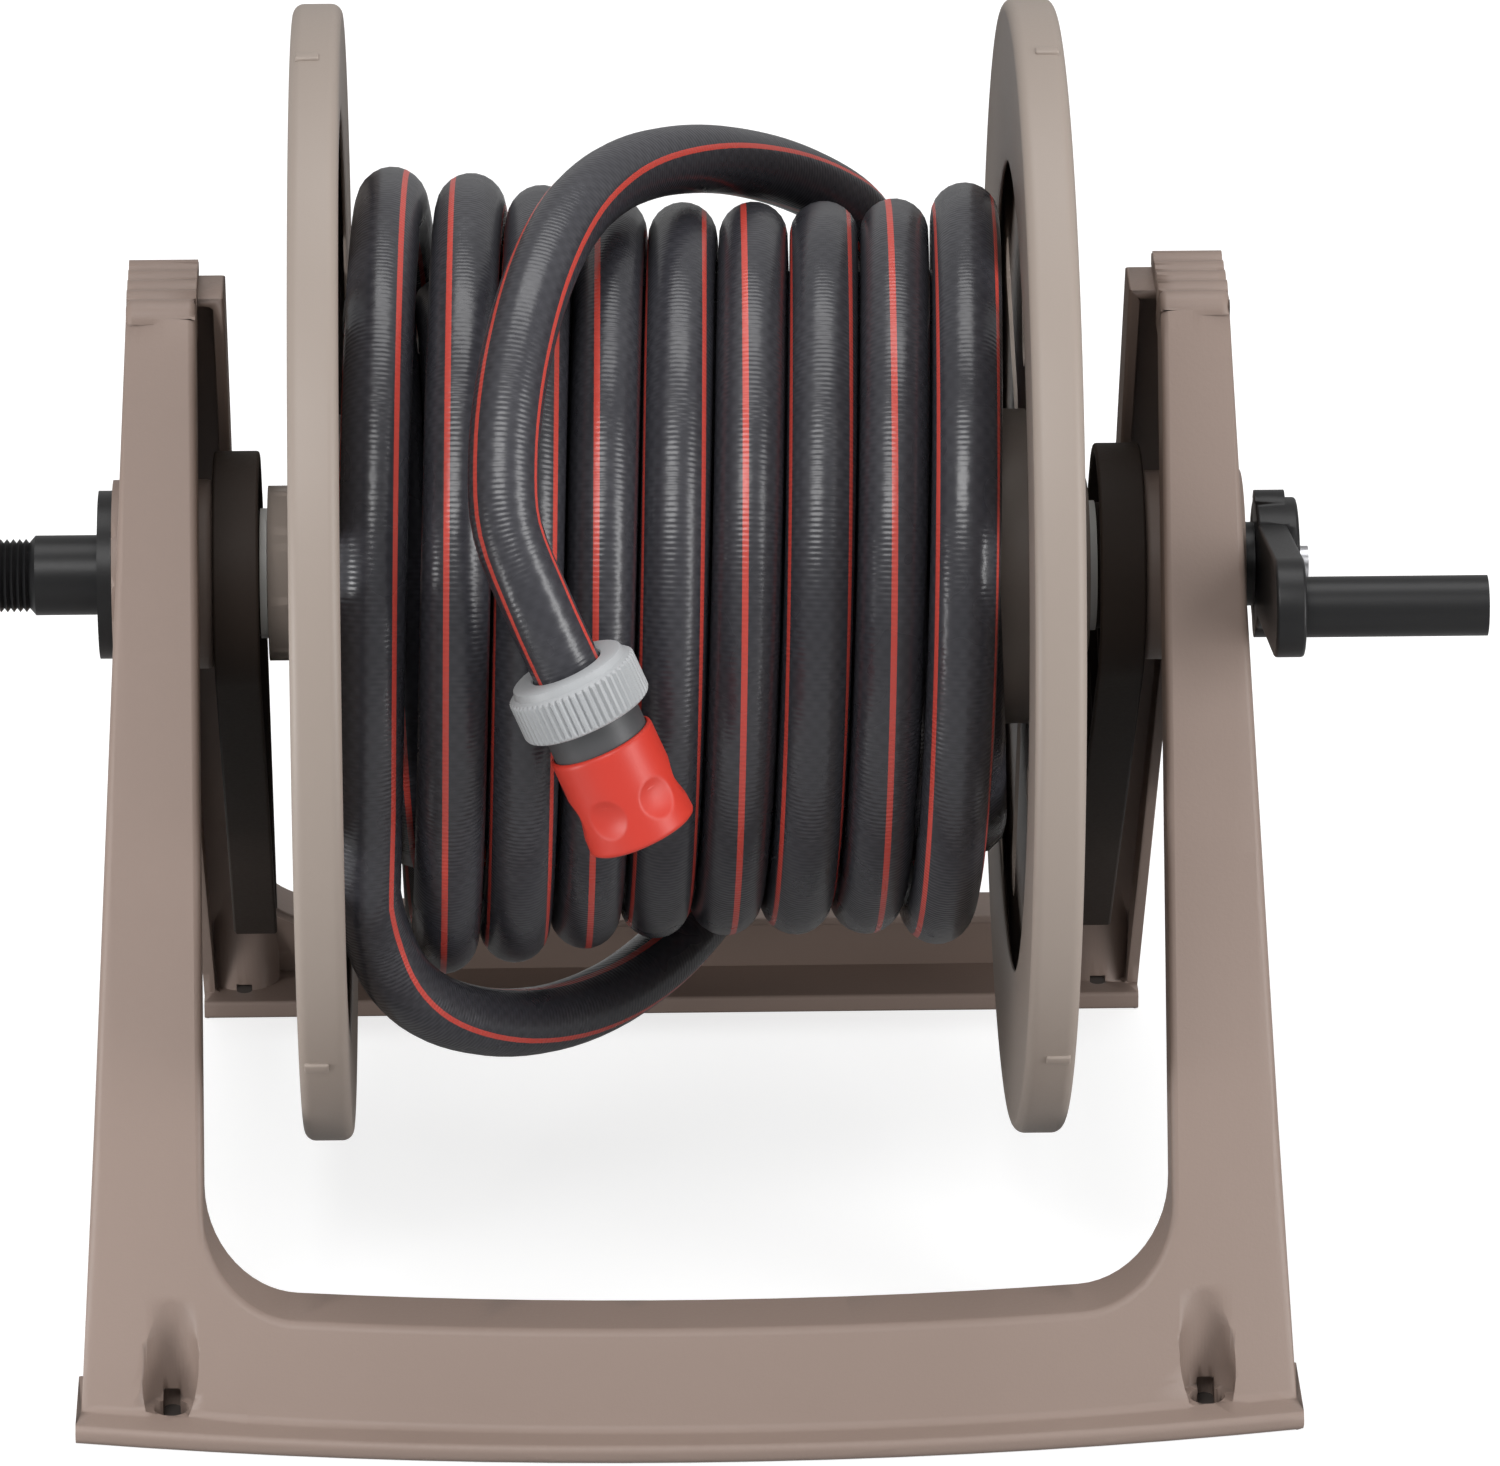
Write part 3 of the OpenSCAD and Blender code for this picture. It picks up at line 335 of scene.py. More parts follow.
@dataclass(frozen=True)
class HoseFinish:
    """The hose's skin: charcoal with fine ripples across it and thin stripes along it.

    Attributes:
        name: Name of the material.
        slot: The record's material slot; not used.
        ground, worn: Colours of the skin, between which it drifts, linear.
        stripe, stripes: Colour of the stripes, linear, and their number round the hose.
        stripe_share: Half width of a stripe as a share of the way from stripe to stripe.
        ripple: Distance from ripple to ripple along the hose, in metres.
        thread: Length of one turn of the braid that shows faintly through the skin, in metres.
        threads: Number of threads round the hose.
        gloss, gloss_spread: Least roughness, and how much rougher the dullest patches are.
        specular: Specular level.
        relief, depth: Strength of the bump, and its depth in metres.
        heights: Shares of the ripples, the braid and the grain in the relief.
    """

    name: str = "hose_skin"
    slot: str = "hose"
    ground: Colour = (0.028, 0.0278, 0.0335)
    worn: Colour = (0.050, 0.0495, 0.0580)
    stripe: Colour = (0.52, 0.058, 0.043)
    stripes: int = 3
    stripe_share: float = 0.043
    ripple: float = 0.0014
    thread: float = 0.0052
    threads: int = 14
    gloss: float = 0.19
    gloss_spread: float = 0.20
    specular: float = 0.55
    relief: float = 0.35
    depth: float = 0.0004
    heights: tuple[float, float, float] = (0.75, 0.25, 0.4)

    GRAIN = {"Scale": 260.0, "Detail": 3.0}
    PATCHES = {"Scale": 34.0, "Detail": 2.0}

    def skin_group(self) -> bpy.types.NodeTree:
        """Builds the group for the skin, read from the tube's UV map: metres along, turns round.

        Returns:
            A group without inputs.
        """
        tree = new_group(self.name, {})
        calc, outside = partial(math_node, tree), tree.nodes.new("NodeGroupOutput")
        coords = add_node(tree, "TexCoord", {}).outputs
        spot = add_node(tree, "SeparateXYZ", {"Vector": coords["UV"]})
        along, around = spot.outputs["X"], spot.outputs["Y"]
        grain, patch = (add_node(tree, "TexNoise", {"Vector": coords["Object"], **noise}).outputs["Fac"]
                        for noise in (self.GRAIN, self.PATCHES))
        turns = calc("DIVIDE", along, self.thread)
        threads = calc("MULTIPLY", around, self.threads)
        right, left = (calc("SINE", calc("MULTIPLY", calc(way, turns, threads), math.tau))
                       for way in ("ADD", "SUBTRACT"))
        # The two sines add up to between -2 and 2, and the braid's height runs from 0 to 1.
        braid = calc("MULTIPLY_ADD", calc("ADD", right, left), 1 / 4, 1 / 2)
        waves = calc("SINE", calc("MULTIPLY", calc("DIVIDE", along, self.ripple), math.tau))
        lane = calc("FRACT", calc("MULTIPLY_ADD", around, self.stripes, 1 / 2))
        striped = calc("LESS_THAN", calc("ABSOLUTE", calc("SUBTRACT", lane, 1 / 2)), self.stripe_share)
        ground = add_node(tree, "Mix", {"Factor": calc("MULTIPLY", braid, patch), "A": (*self.ground, 1),
                                        "B": (*self.worn, 1)}, data_type="RGBA")
        colour = add_node(tree, "Mix", {"Factor": striped, "A": ground.outputs["Result"],
                                        "B": (*self.stripe, 1)}, data_type="RGBA")
        wave_share, braid_share, grain_share = self.heights
        skin = calc("MULTIPLY_ADD", braid, braid_share, calc("MULTIPLY", grain, grain_share))
        swell = calc("MULTIPLY", waves, calc("POWER", patch, 2.0))
        feed(tree, outside, {"Colour": colour.outputs["Result"],
                             "Roughness": calc("MULTIPLY_ADD", patch, self.gloss_spread, self.gloss),
                             "Height": calc("MULTIPLY_ADD", swell, wave_share, skin)})
        return tree

    def material(self) -> bpy.types.Material:
        """Builds the material, or gives the one that is built already."""
        return bpy.data.materials.get(self.name) or bumped_material(
            self.name, self.skin_group(), {}, {"Specular IOR Level": self.specular},
            {"Strength": self.relief, "Distance": self.depth})


STAND_PLASTIC = Finish("stand_plastic", "stand", (0.232, 0.174, 0.147), (0.214, 0.160, 0.134),
                       gloss=0.42, grain=900.0, relief=0.28)
# The stand's plastic, darkened far below the stand's tone: painted shade for the bearing arms, which sit in
# shadow between the legs and the flanges.
ARM_PAINTED_SHADE = Finish("arm_painted_shade", "stand", (0.028, 0.0195, 0.0150), (0.023, 0.016, 0.0125),
                     gloss=0.55, grain=900.0, relief=0.2, specular=0.2)
FLANGE_PLASTIC = Finish("flange_plastic", "flange", (0.288, 0.240, 0.208), (0.270, 0.225, 0.194), gloss=0.40)
BLACK_PLASTIC = Finish("black_plastic", "black", (0.007, 0.007, 0.0075), (0.010, 0.010, 0.0105),
                       gloss=0.30, grain=1800.0, relief=0.08, specular=0.3)
WHITE_PLASTIC = Finish("bearing_plastic", "bush", (0.72, 0.71, 0.68), (0.66, 0.65, 0.62), gloss=0.35)
ZINC_STEEL = Finish("zinc_steel", "steel", (0.58, 0.58, 0.60), (0.46, 0.46, 0.48),
                    gloss=0.24, grain=2400.0, relief=0.06, metallic=1.0)
BLACK_STEEL = Finish("black_steel", "steel", (0.03, 0.03, 0.032), (0.02, 0.02, 0.022),
                     gloss=0.3, grain=2400.0, relief=0.06, metallic=1.0)
SEAL_RUBBER = Finish("seal_rubber", "seal", (0.012, 0.012, 0.012), (0.02, 0.02, 0.02), gloss=0.6)
NUT_PLASTIC = Finish("nut_plastic", "nut", (0.375, 0.385, 0.395), (0.340, 0.350, 0.360), gloss=0.38)
NECK_PLASTIC = Finish("neck_plastic", "connector", (0.075, 0.076, 0.080), (0.058, 0.059, 0.062), gloss=0.38)
RED_PLASTIC = Finish("red_plastic", "sleeve", (0.520, 0.037, 0.023), (0.480, 0.033, 0.020),
                     gloss=0.34, grain=1600.0, relief=0.08)


@dataclass
class Hose:
    """The hose on the drum: its outer layer, the layers under it and its free end.

    Sizes are in millimetres and degrees, as in the part's source. The connector's place and the points
    of the free end's route are distance along the axle, angle from the front and rise over the winding.
    """

    diameter: float = 19.5
    pitch: float = 20.1
    radius: float = 95.0  # of the outer layer's centre line
    left_rise: float = 11.0  # how much higher the first turn lies
    left_turns: float = 4.5  # turns that level it
    right_rise: float = 5.0  # how much higher the last turn lies
    right_from: float = 7.0  # turn at which that begins
    right_turns: float = 1.4  # turns over which it grows
    first_x: float = -87.25  # place of the first turn along the axle
    first_gap: float = 3.0  # extra gap after it
    start: float = -15.0  # angle at which the outer layer begins
    end: float = 3059.1
    dive_span: float = 55.0  # angle over which its end goes down
    dive_depth: float = 16.0
    ring: float = 15.0  # angle between the rings in the part's source
    ring_steps: int = 3  # rings drawn for each of those
    connector_at: tuple[float, float, float] = (-33.0, 10.9, 37.4)
    connector_axis: tuple[float, float, float] = (0.400381, -0.100095, -0.910866)
    sink: float = 9.0  # how far the hose goes into the connector
    stripe_at: float = 45.0  # angle of a stripe on the hose at the front of the first turn
    stripe_drift: float = 57.0  # creep of the stripes in one turn of the drum
    tail_drift: float = 22.0  # creep of the stripes over the free end
    tail: tuple[tuple[float, float, float], ...] = (
        (-86.5, -38, 21), (-81, -45.5, 27.5), (-72, -53, 31.5), (-59.5, -60.5, 33.5), (-45.5, -68, 34),
        (-30.5, -76, 33), (-15, -85.5, 31), (1, -97, 28.5), (16, -110.5, 26), (29, -126, 24),
        (39.5, -143, 23), (47.5, -159.5, 22.5), (53.5, -175, 22), (57.5, -188.5, 22),
        (60, -200, 22), (59.5, -208, 21.5), (57, -215, 21), (52, -221.5, 20.8), (43, -228.5, 20.8),
        (32.5, -236, 20.8), (21.5, -244, 21), (10.5, -252, 22), (-0.5, -260, 23.5), (-11, -268, 25.5),
        (-20.5, -276.5, 28), (-29.5, -286, 31), (-37, -296, 34), (-43, -306, 37), (-47.5, -316, 39),
        (-49.5, -325, 40), (-48.5, -333, 40))
    tail_steps: int = 4  # rings from each of those points to the next
    inner_radii: tuple[float, float] = (55.2, 75.3)  # of the two lower layers
    inner_half: float = 86.0  # half their width
    inner_turns: float = 8.7  # turns in each
    inner_step: float = 12.0  # angle between their rings
    climb: tuple[float, float] = (0.97, 0.06)  # start and length of the climb, in shares of a layer

    OUTER_RESOLUTION = 10
    INNER_RESOLUTION = 4
    SHARP_DEGREES = 60.0

    def turn(self, degrees: float) -> Vector:
        """Gives the outer layer's centre line.

        Args:
            degrees: Angle wound from the first turn's front.

        Returns:
            The point in the part's frame, in metres.
        """
        turns = degrees / 360
        dive = self.dive_depth * max(0.0, (degrees - self.end + self.dive_span) / self.dive_span) ** 2
        radius = (self.radius + self.left_rise * smooth_step(1 - turns / self.left_turns)
                  + self.right_rise * smooth_step((turns - self.right_from) / self.right_turns) - dive)
        x = self.first_x + self.pitch * turns + self.first_gap * smooth_step(turns)
        return AXLE.round(x, degrees, radius)

    def over_winding(self, place: tuple[float, float, float]) -> Vector:
        """Gives a point over the winding.

        Args:
            place: Distance along the axle, angle from the front and rise over the winding's centre line.

        Returns:
            The point in the part's frame, in metres.
        """
        x, degrees, rise = place
        return AXLE.round(x, degrees, self.radius + rise)

    def winding_line(self) -> list[Vector]:
        """Winds the outer layer.

        Returns:
            Its points in metres, straight for one diameter at each end.
        """
        count = self.ring_steps * int((self.end - self.start) / self.ring)
        line = [self.turn(self.start + i * self.ring / self.ring_steps) for i in range(count + 1)]
        first = (line[0] - self.turn(self.start + self.ring)).normalized()
        last = (line[-1] - line[-2]).normalized()
        return [line[0] + first * self.diameter * MM, *line, line[-1] + last * self.diameter * MM]

    def axis(self) -> Vector:
        """Gives the direction in which the connector points."""
        return Vector(self.connector_axis).normalized()

    def mouth(self) -> Vector:
        """Gives the middle of the connector's rear end, where the hose goes in."""
        return self.over_winding(self.connector_at)

    def tail_line(self) -> list[Vector]:
        """Draws the free end's curve through its route.

        Returns:
            Its points in metres, from the winding to inside the connector's nut.
        """
        start = self.winding_line()
        first = (start[0] - start[1]).normalized()
        knots = [start[0], start[0] + first * self.diameter * MM / 2]
        knots += [self.over_winding(p) for p in self.tail]
        knots += [self.mouth() - self.axis() * self.diameter * MM, self.mouth(),
                  self.mouth() + self.axis() * self.sink * MM]
        line = [knots[0], (knots[0] + knots[1]) / 2]
        for i in range(1, len(knots) - 1):
            a, b, c, d = knots[i - 1], knots[i], knots[i + 1], knots[min(len(knots) - 1, i + 2)]
            for k in range(self.tail_steps):
                t = k / self.tail_steps
                line.append((2 * b + (c - a) * t + (2 * a - 5 * b + 4 * c - d) * t * t
                             + (3 * b - a - 3 * c + d) * t ** 3) / 2)
        return [*line, knots[-1]]

    def inner_line(self) -> list[Vector]:
        """Winds the lower layers.

        Returns:
            Their points in metres: out along the barrel and back on top of that layer.
        """
        (low, high), (climb_at, climb_span) = self.inner_radii, self.climb
        count = int(2 * self.inner_turns * 360 / self.inner_step)
        line = []
        for i in range(count + 1):
            share = 2 * i / count
            climb = smooth_step((share - climb_at) / climb_span)
            across = share if share < 1 else 2 - share
            x = -self.inner_half + 2 * self.inner_half * across
            line.append(AXLE.round(x, i * self.inner_step, low + (high - low) * climb))
        return line

    @staticmethod
    def tube(line: list[Vector], diameter: float, phases: list[float], resolution: int) -> bmesh.types.BMesh:
        """Draws an open round tube along a line, with a UV map in metres along it and turns round it.

        Args:
            line: The centre line, in metres.
            diameter: Outer diameter, in metres.
            phases: Angle of a stripe at each point, in degrees from outwards towards the crank.
            resolution: Bevel resolution of the tube's section.

        Returns:
            The tube's mesh, ring by ring in the line's order.
        """
        curve = bpy.data.curves.new("tube_line", "CURVE")
        curve.dimensions = "3D"
        curve.bevel_depth = diameter / 2
        curve.bevel_resolution = resolution
        curve.twist_mode = "MINIMUM"
        spline = curve.splines.new("POLY")
        spline.points.add(len(line) - 1)
        for point, place in zip(spline.points, line):
            point.co = (*place, 1)
        drawn = add_object("tube_line", curve)
        bpy.context.view_layer.update()
        bm = bmesh.new()
        bm.from_mesh(drawn.evaluated_get(bpy.context.evaluated_depsgraph_get()).to_mesh())
        bpy.data.objects.remove(drawn)
        sides, centre = len(bm.verts) // len(line), AXLE.centre()
        along = list(accumulate(((b - a).length for a, b in zip(line, line[1:])), initial=0.0))
        uv = bm.loops.layers.uv.verify()
        for face in bm.faces:
            first = None
            for loop in face.loops:
                ring = loop.vert.index // sides
                outwards, spoke = (line[ring] - centre) * Vector((0, 1, 1)), loop.vert.co - line[ring]
                angle = math.degrees(math.atan2(spoke.x, spoke.dot(outwards.normalized())))
                turn = (angle - phases[ring]) / 360
                first = turn if first is None else first
                loop[uv].uv = (along[ring], turn + round(first - turn))
        return bm

    @staticmethod
    def closed_run(tube: bmesh.types.BMesh, rings: int, first: int, last: int) -> bmesh.types.BMesh:
        """Copies some of a tube's rings and closes their ends.

        Args:
            tube: The open tube.
            rings: Number of its rings.
            first: First ring to keep.
            last: Last ring to keep.

        Returns:
            The closed piece's mesh.
        """
        run = tube.copy()
        sides = len(run.verts) // rings
        bmesh.ops.delete(run, geom=[v for v in run.verts if not first <= v.index // sides <= last],
                         context="VERTS")
        bmesh.ops.holes_fill(run, edges=[e for e in run.edges if e.is_boundary], sides=0)
        bmesh.ops.recalc_face_normals(run, faces=run.faces[:])
        return run

    def build(self) -> None:
        """Makes the outer layer and the free end of one tube, and the lower layers of another."""
        tail, winding, inner = self.tail_line(), self.winding_line(), self.inner_line()
        whole = [*reversed(tail), *winding[1:]]
        skin, seam = HoseFinish(), len(tail) - 1
        start = self.stripe_at - self.stripe_drift * self.start / 360
        wound = [start - self.stripe_drift * i * self.ring / self.ring_steps / 360
                 for i in range(len(winding) - 1)]
        free = [start + self.tail_drift * i / seam for i in range(seam, -1, -1)]
        outer_tube = self.tube(whole, self.diameter * MM, free + wound, self.OUTER_RESOLUTION)
        inner_tube = self.tube(inner, self.diameter * MM, [0.0] * len(inner), self.INNER_RESOLUTION)
        for name, node, tube, rings, first, last in (
                ("hose_outer_layer", "hose_winding", outer_tube, len(whole), seam, len(whole) - 1),
                ("hose_free_end", "hose_tail", outer_tube, len(whole), 0, seam),
                ("hose_inner_layers", "hose_core", inner_tube, len(inner), 0, len(inner) - 1)):
            run = self.closed_run(tube, rings, first, last)
            piece = new_piece(name, run, Body.DRUM, skin, self.SHARP_DEGREES)
            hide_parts(node)
        outer_tube.free()
        inner_tube.free()


@dataclass
class Connector:
    """The click-on connector at the hose's end, built along its own axis and then set in place.

    Sizes are in millimetres and degrees, and heights count from the end where the hose goes in.
    """

    hose: Hose
    nut_r: float = 18.5
    nut_l: float = 15.0
    nut_mouth: float = 4.0  # thickness of the nut's end wall
    nut_bore_r: float = 14.0
    nut_play: float = 0.3  # gap between the hose and that wall
    nut_ribs: int = 56
    rib_depth: float = 0.9
    rib_from: float = 3.2  # where the ribs begin
    rib_short: float = 1.0  # how far short of the nut's end they stop
    skin: float = 0.2  # points this close to the outside count as outside
    sleeve_from: float = 23.0
    sleeve_l: float = 29.0
    sleeve_r: float = 15.5
    sleeve_in_r: float = 13.9  # wide bore
    sleeve_mouth_r: float = 11.7  # narrow bore
    sleeve_step: float = 15.0  # length of the wide bore
    sleeve_waist: float = 0.55  # how much slimmer it is behind its mouth
    sleeve_flare: float = 0.5  # what it gains towards its mouth
    sleeve_end: float = 1.2  # length of its rounded ends
    dimples: int = 6
    dimple_r: float = 5.8
    dimple_depth: float = 1.7
    dimple_share: float = 0.62  # where the dimples lie along the sleeve
    facing: float = -112.4  # angle that faces the photograph, between two dimples
    shoulder: float = 31.0  # on which the spring stands
    spring_r: float = 12.5
    spring_wire: float = 1.2
    spring_turns: int = 3
    spring_inset: float = 0.75  # from the shoulder to the middle of the wire
    spring_solid: float = 3.0  # room left for the spring when the sleeve is pulled back
    travel: float = 4.0

    NUT_SHARP, SLEEVE_SHARP, SPRING_SHARP = 30.0, 40.0, 60.0
    RIB_STEPS, SLEEVE_ROWS, SLEEVE_FACETS = 6, 44, 180
    SPRING_STEPS, SPRING_RESOLUTION = 24, 2

    def place(self) -> Matrix:
        """Finds the connector's place.

        Returns:
            The transform from the connector's own axis to the part's frame.
        """
        axis = self.hose.axis()
        lean, turn = math.acos(axis.z), math.atan2(axis.y, axis.x)
        return (Matrix.Translation(self.hose.mouth()) @ Matrix.Rotation(turn, 4, "Z")
                @ Matrix.Rotation(lean, 4, "Y"))

    def build_nut(self) -> None:
        """Makes the clamping nut: a slim collar, then fine grip ribs as far as its chamfered end."""
        r, bore, mouth, end = self.nut_r, self.nut_bore_r, self.hose.diameter / 2 + self.nut_play, self.nut_l
        bm = turned([(mouth, 0.4), (mouth + 0.4, 0), (r - 3.2, 0), (r - 2.5, 0.4), (r - 1.9, 2.3),
                     (r - 0.8, 2.8), (r, 3.5), (r, end - 1.3), (r - 0.4, end - 0.5), (r - 1.1, end),
                     (bore, end), (bore, self.nut_mouth), (mouth, self.nut_mouth)],
                    self.nut_ribs * self.RIB_STEPS)
        low, high = self.rib_from * MM, (end - self.rib_short) * MM
        for v in bm.verts:
            radius = math.hypot(v.co.x, v.co.y)
            if radius > (r - self.skin) * MM and low < v.co.z < high:
                turn = math.atan2(v.co.y, v.co.x) * self.nut_ribs
                v.co.xy *= (radius - self.rib_depth * MM * max(0.0, math.cos(turn))) / radius
        bm.transform(self.place())
        piece = new_piece("connector_nut_ribbed", bm, Body.DRUM, NUT_PLASTIC, self.NUT_SHARP)
        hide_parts("connector_nut")

    def build_sleeve(self) -> None:
        """Makes the release sleeve, flared at its mouth, with finger dimples round it."""
        r, z0, z1 = self.sleeve_r, self.sleeve_from, self.sleeve_from + self.sleeve_l
        outside = [(r - 1.3, z0), (r - 0.7, z0 + 0.5)]
        for i in range(self.SLEEVE_ROWS + 1):
            share = i / self.SLEEVE_ROWS
            outside.append((r - self.sleeve_waist + self.sleeve_flare * share ** 3,
                            z0 + self.sleeve_end + (z1 - z0 - 2 * self.sleeve_end) * share))
        outside += [(r - 0.35, z1 - 0.5), (r - 1.1, z1)]
        inside = [(self.sleeve_mouth_r + 0.6, z1), (self.sleeve_mouth_r, z1 - 0.7),
                  (self.sleeve_mouth_r, z0 + self.sleeve_step), (self.sleeve_in_r, z0 + self.sleeve_step),
                  (self.sleeve_in_r, z0)]
        bm = turned(outside + inside, self.SLEEVE_FACETS)
        apart = math.tau / self.dimples
        for v in bm.verts:
            radius = math.hypot(v.co.x, v.co.y)
            if radius < (self.sleeve_in_r + self.skin) * MM:
                continue
            turn = math.atan2(v.co.y, v.co.x) - math.radians(self.facing) - apart / 2
            across = (turn - apart * round(turn / apart)) * r
            away = math.hypot(across, v.co.z / MM - z0 - self.dimple_share * self.sleeve_l) / self.dimple_r
            v.co.xy *= (radius - self.dimple_depth * MM * max(0.0, 1 - away * away)) / radius
        bm.transform(self.place())
        piece = new_piece("release_sleeve_shaped", bm, Body.SLEEVE, RED_PLASTIC, self.SLEEVE_SHARP)
        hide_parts("release_sleeve")

    def build_spring(self) -> None:
        """Makes the return spring, coiled between the shoulder and the sleeve's wide bore."""
        count = self.SPRING_STEPS * self.spring_turns
        low = self.shoulder + self.spring_inset
        high = self.sleeve_from + self.sleeve_step - self.spring_inset
        line = []
        for i in range(count + 1):
            a = math.tau * i / self.SPRING_STEPS
            point = (self.spring_r * math.cos(a), self.spring_r * math.sin(a), low + (high - low) * i / count)
            line.append(self.place() @ (Vector(point) * MM))
        coil = Hose.tube(line, self.spring_wire * MM, [0.0] * len(line), self.SPRING_RESOLUTION)
        wire = Hose.closed_run(coil, len(line), 0, count)
        piece = new_piece("sleeve_spring_coiled", wire, Body.DRUM, ZINC_STEEL, self.SPRING_SHARP)
        coil.free()
        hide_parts("sleeve_spring")
        axis = self.hose.axis()
        tuple(self.hose.mouth() + axis * self.shoulder * MM)
        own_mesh(piece)


@dataclass
class Moulding:
    """A CAD moulding with its long edges rounded, as a tool leaves them.

    Attributes:
        node: The CAD node that it copies and replaces.
        finish: Its finish.
        body: The body that carries it.
        radius: Rounding of the edges, in millimetres.
        corner: Outer edges whose faces meet at more than this angle are rounded, in degrees.
        smooth: Faces that meet at less than this angle are one surface, in degrees.
        outline: Surfaces with a shorter outline, such as holes, keep their edges, in millimetres.
        slim: Surfaces whose mean width is under this many radii keep their edges too.
        grid: Distance between the cuts that keep large faces evenly shaded, in millimetres; 0 for none.
        crease: Inner edges that turn less than this are rounded too, in degrees; 0 for none.
    """

    node: str
    finish: Finish
    body: Body = Body.STAND
    radius: float = 0.9
    corner: float = 40.0
    smooth: float = 22.0
    outline: float = 100.0
    slim: float = 2.4
    grid: float = 0.0
    crease: float = 0.0

    FLAT_DEGREES = 0.02
    SHARP_DEGREES = 42.0
    CUT_SNAP = 1e-7

    def build(self) -> None:
        """Copies the node's mesh, joins its triangles, rounds its edges and hides the node."""
        bm = bmesh.new()
        bm.from_mesh(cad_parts[self.node].data)
        bmesh.ops.remove_doubles(bm, verts=bm.verts[:], dist=WELD)
        bmesh.ops.dissolve_limit(bm, angle_limit=math.radians(self.FLAT_DEGREES), verts=bm.verts[:],
                                 edges=bm.edges[:], use_dissolve_boundaries=False)
        wide = self.wide_faces(bm)
        edges = [e for e in bm.edges if len(e.link_faces) == 2 and wide.issuperset(e.link_faces)
                 and math.radians(self.corner) < e.calc_face_angle(0.0)
                 and (e.is_convex or e.calc_face_angle(0.0) < math.radians(self.crease))]
        # Loop slide is off: along curved outlines it folds faces over each other.
        bmesh.ops.bevel(bm, geom=edges, offset=self.radius * MM, offset_type="OFFSET", segments=3,
                        profile=0.5, affect="EDGES", clamp_overlap=False, material=-1, loop_slide=False)
        bmesh.ops.remove_doubles(bm, verts=bm.verts[:], dist=WELD)
        bmesh.ops.triangulate(bm, faces=[f for f in bm.faces if len(f.verts) > 4])
        if self.grid:
            self.cut_grid(bm)
        piece = new_piece(self.node + "_rounded", bm, self.body, self.finish, self.SHARP_DEGREES)
        weight = piece.modifiers.new("weighted", "WEIGHTED_NORMAL")
        weight.keep_sharp = True
        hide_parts(self.node)

    def cut_grid(self, bm: bmesh.types.BMesh) -> None:
        """Cuts the mesh along upright and level planes.

        Args:
            bm: The mesh to cut.
        """
        low, high = (Vector(corner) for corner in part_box(self.node))
        for across in (Vector((1, 0, 0)), Vector((0, 0, 1))):
            start, end = low.dot(across), high.dot(across)
            for i in range(1, int((end - start) / (self.grid * MM)) + 1):
                bmesh.ops.bisect_plane(bm, geom=bm.verts[:] + bm.edges[:] + bm.faces[:], dist=self.CUT_SNAP,
                                       plane_co=across * (start + i * self.grid * MM), plane_no=across)

    def wide_faces(self, bm: bmesh.types.BMesh) -> set[bmesh.types.BMFace]:
        """Finds the surfaces that are wide and long enough for a rounded edge, over all their faces.

        Args:
            bm: The mesh before its edges are rounded.

        Returns:
            The faces of those surfaces.
        """
        seen, wide = set(), set()
        for start in bm.faces:
            if start in seen:
                continue
            surface, queue, area, outline = set(), [start], 0.0, 0.0
            seen.add(start)
            while queue:
                face = queue.pop()
                surface.add(face)
                area += face.calc_area()
                for edge in face.edges:
                    if edge.calc_face_angle(math.pi) > math.radians(self.smooth):
                        outline += edge.calc_length()
                        continue
                    for other in edge.link_faces:
                        if other not in seen:
                            seen.add(other)
                            queue.append(other)
            if outline > self.outline * MM and 2 * area > self.slim * self.radius * MM * outline:
                wide |= surface
        return wide


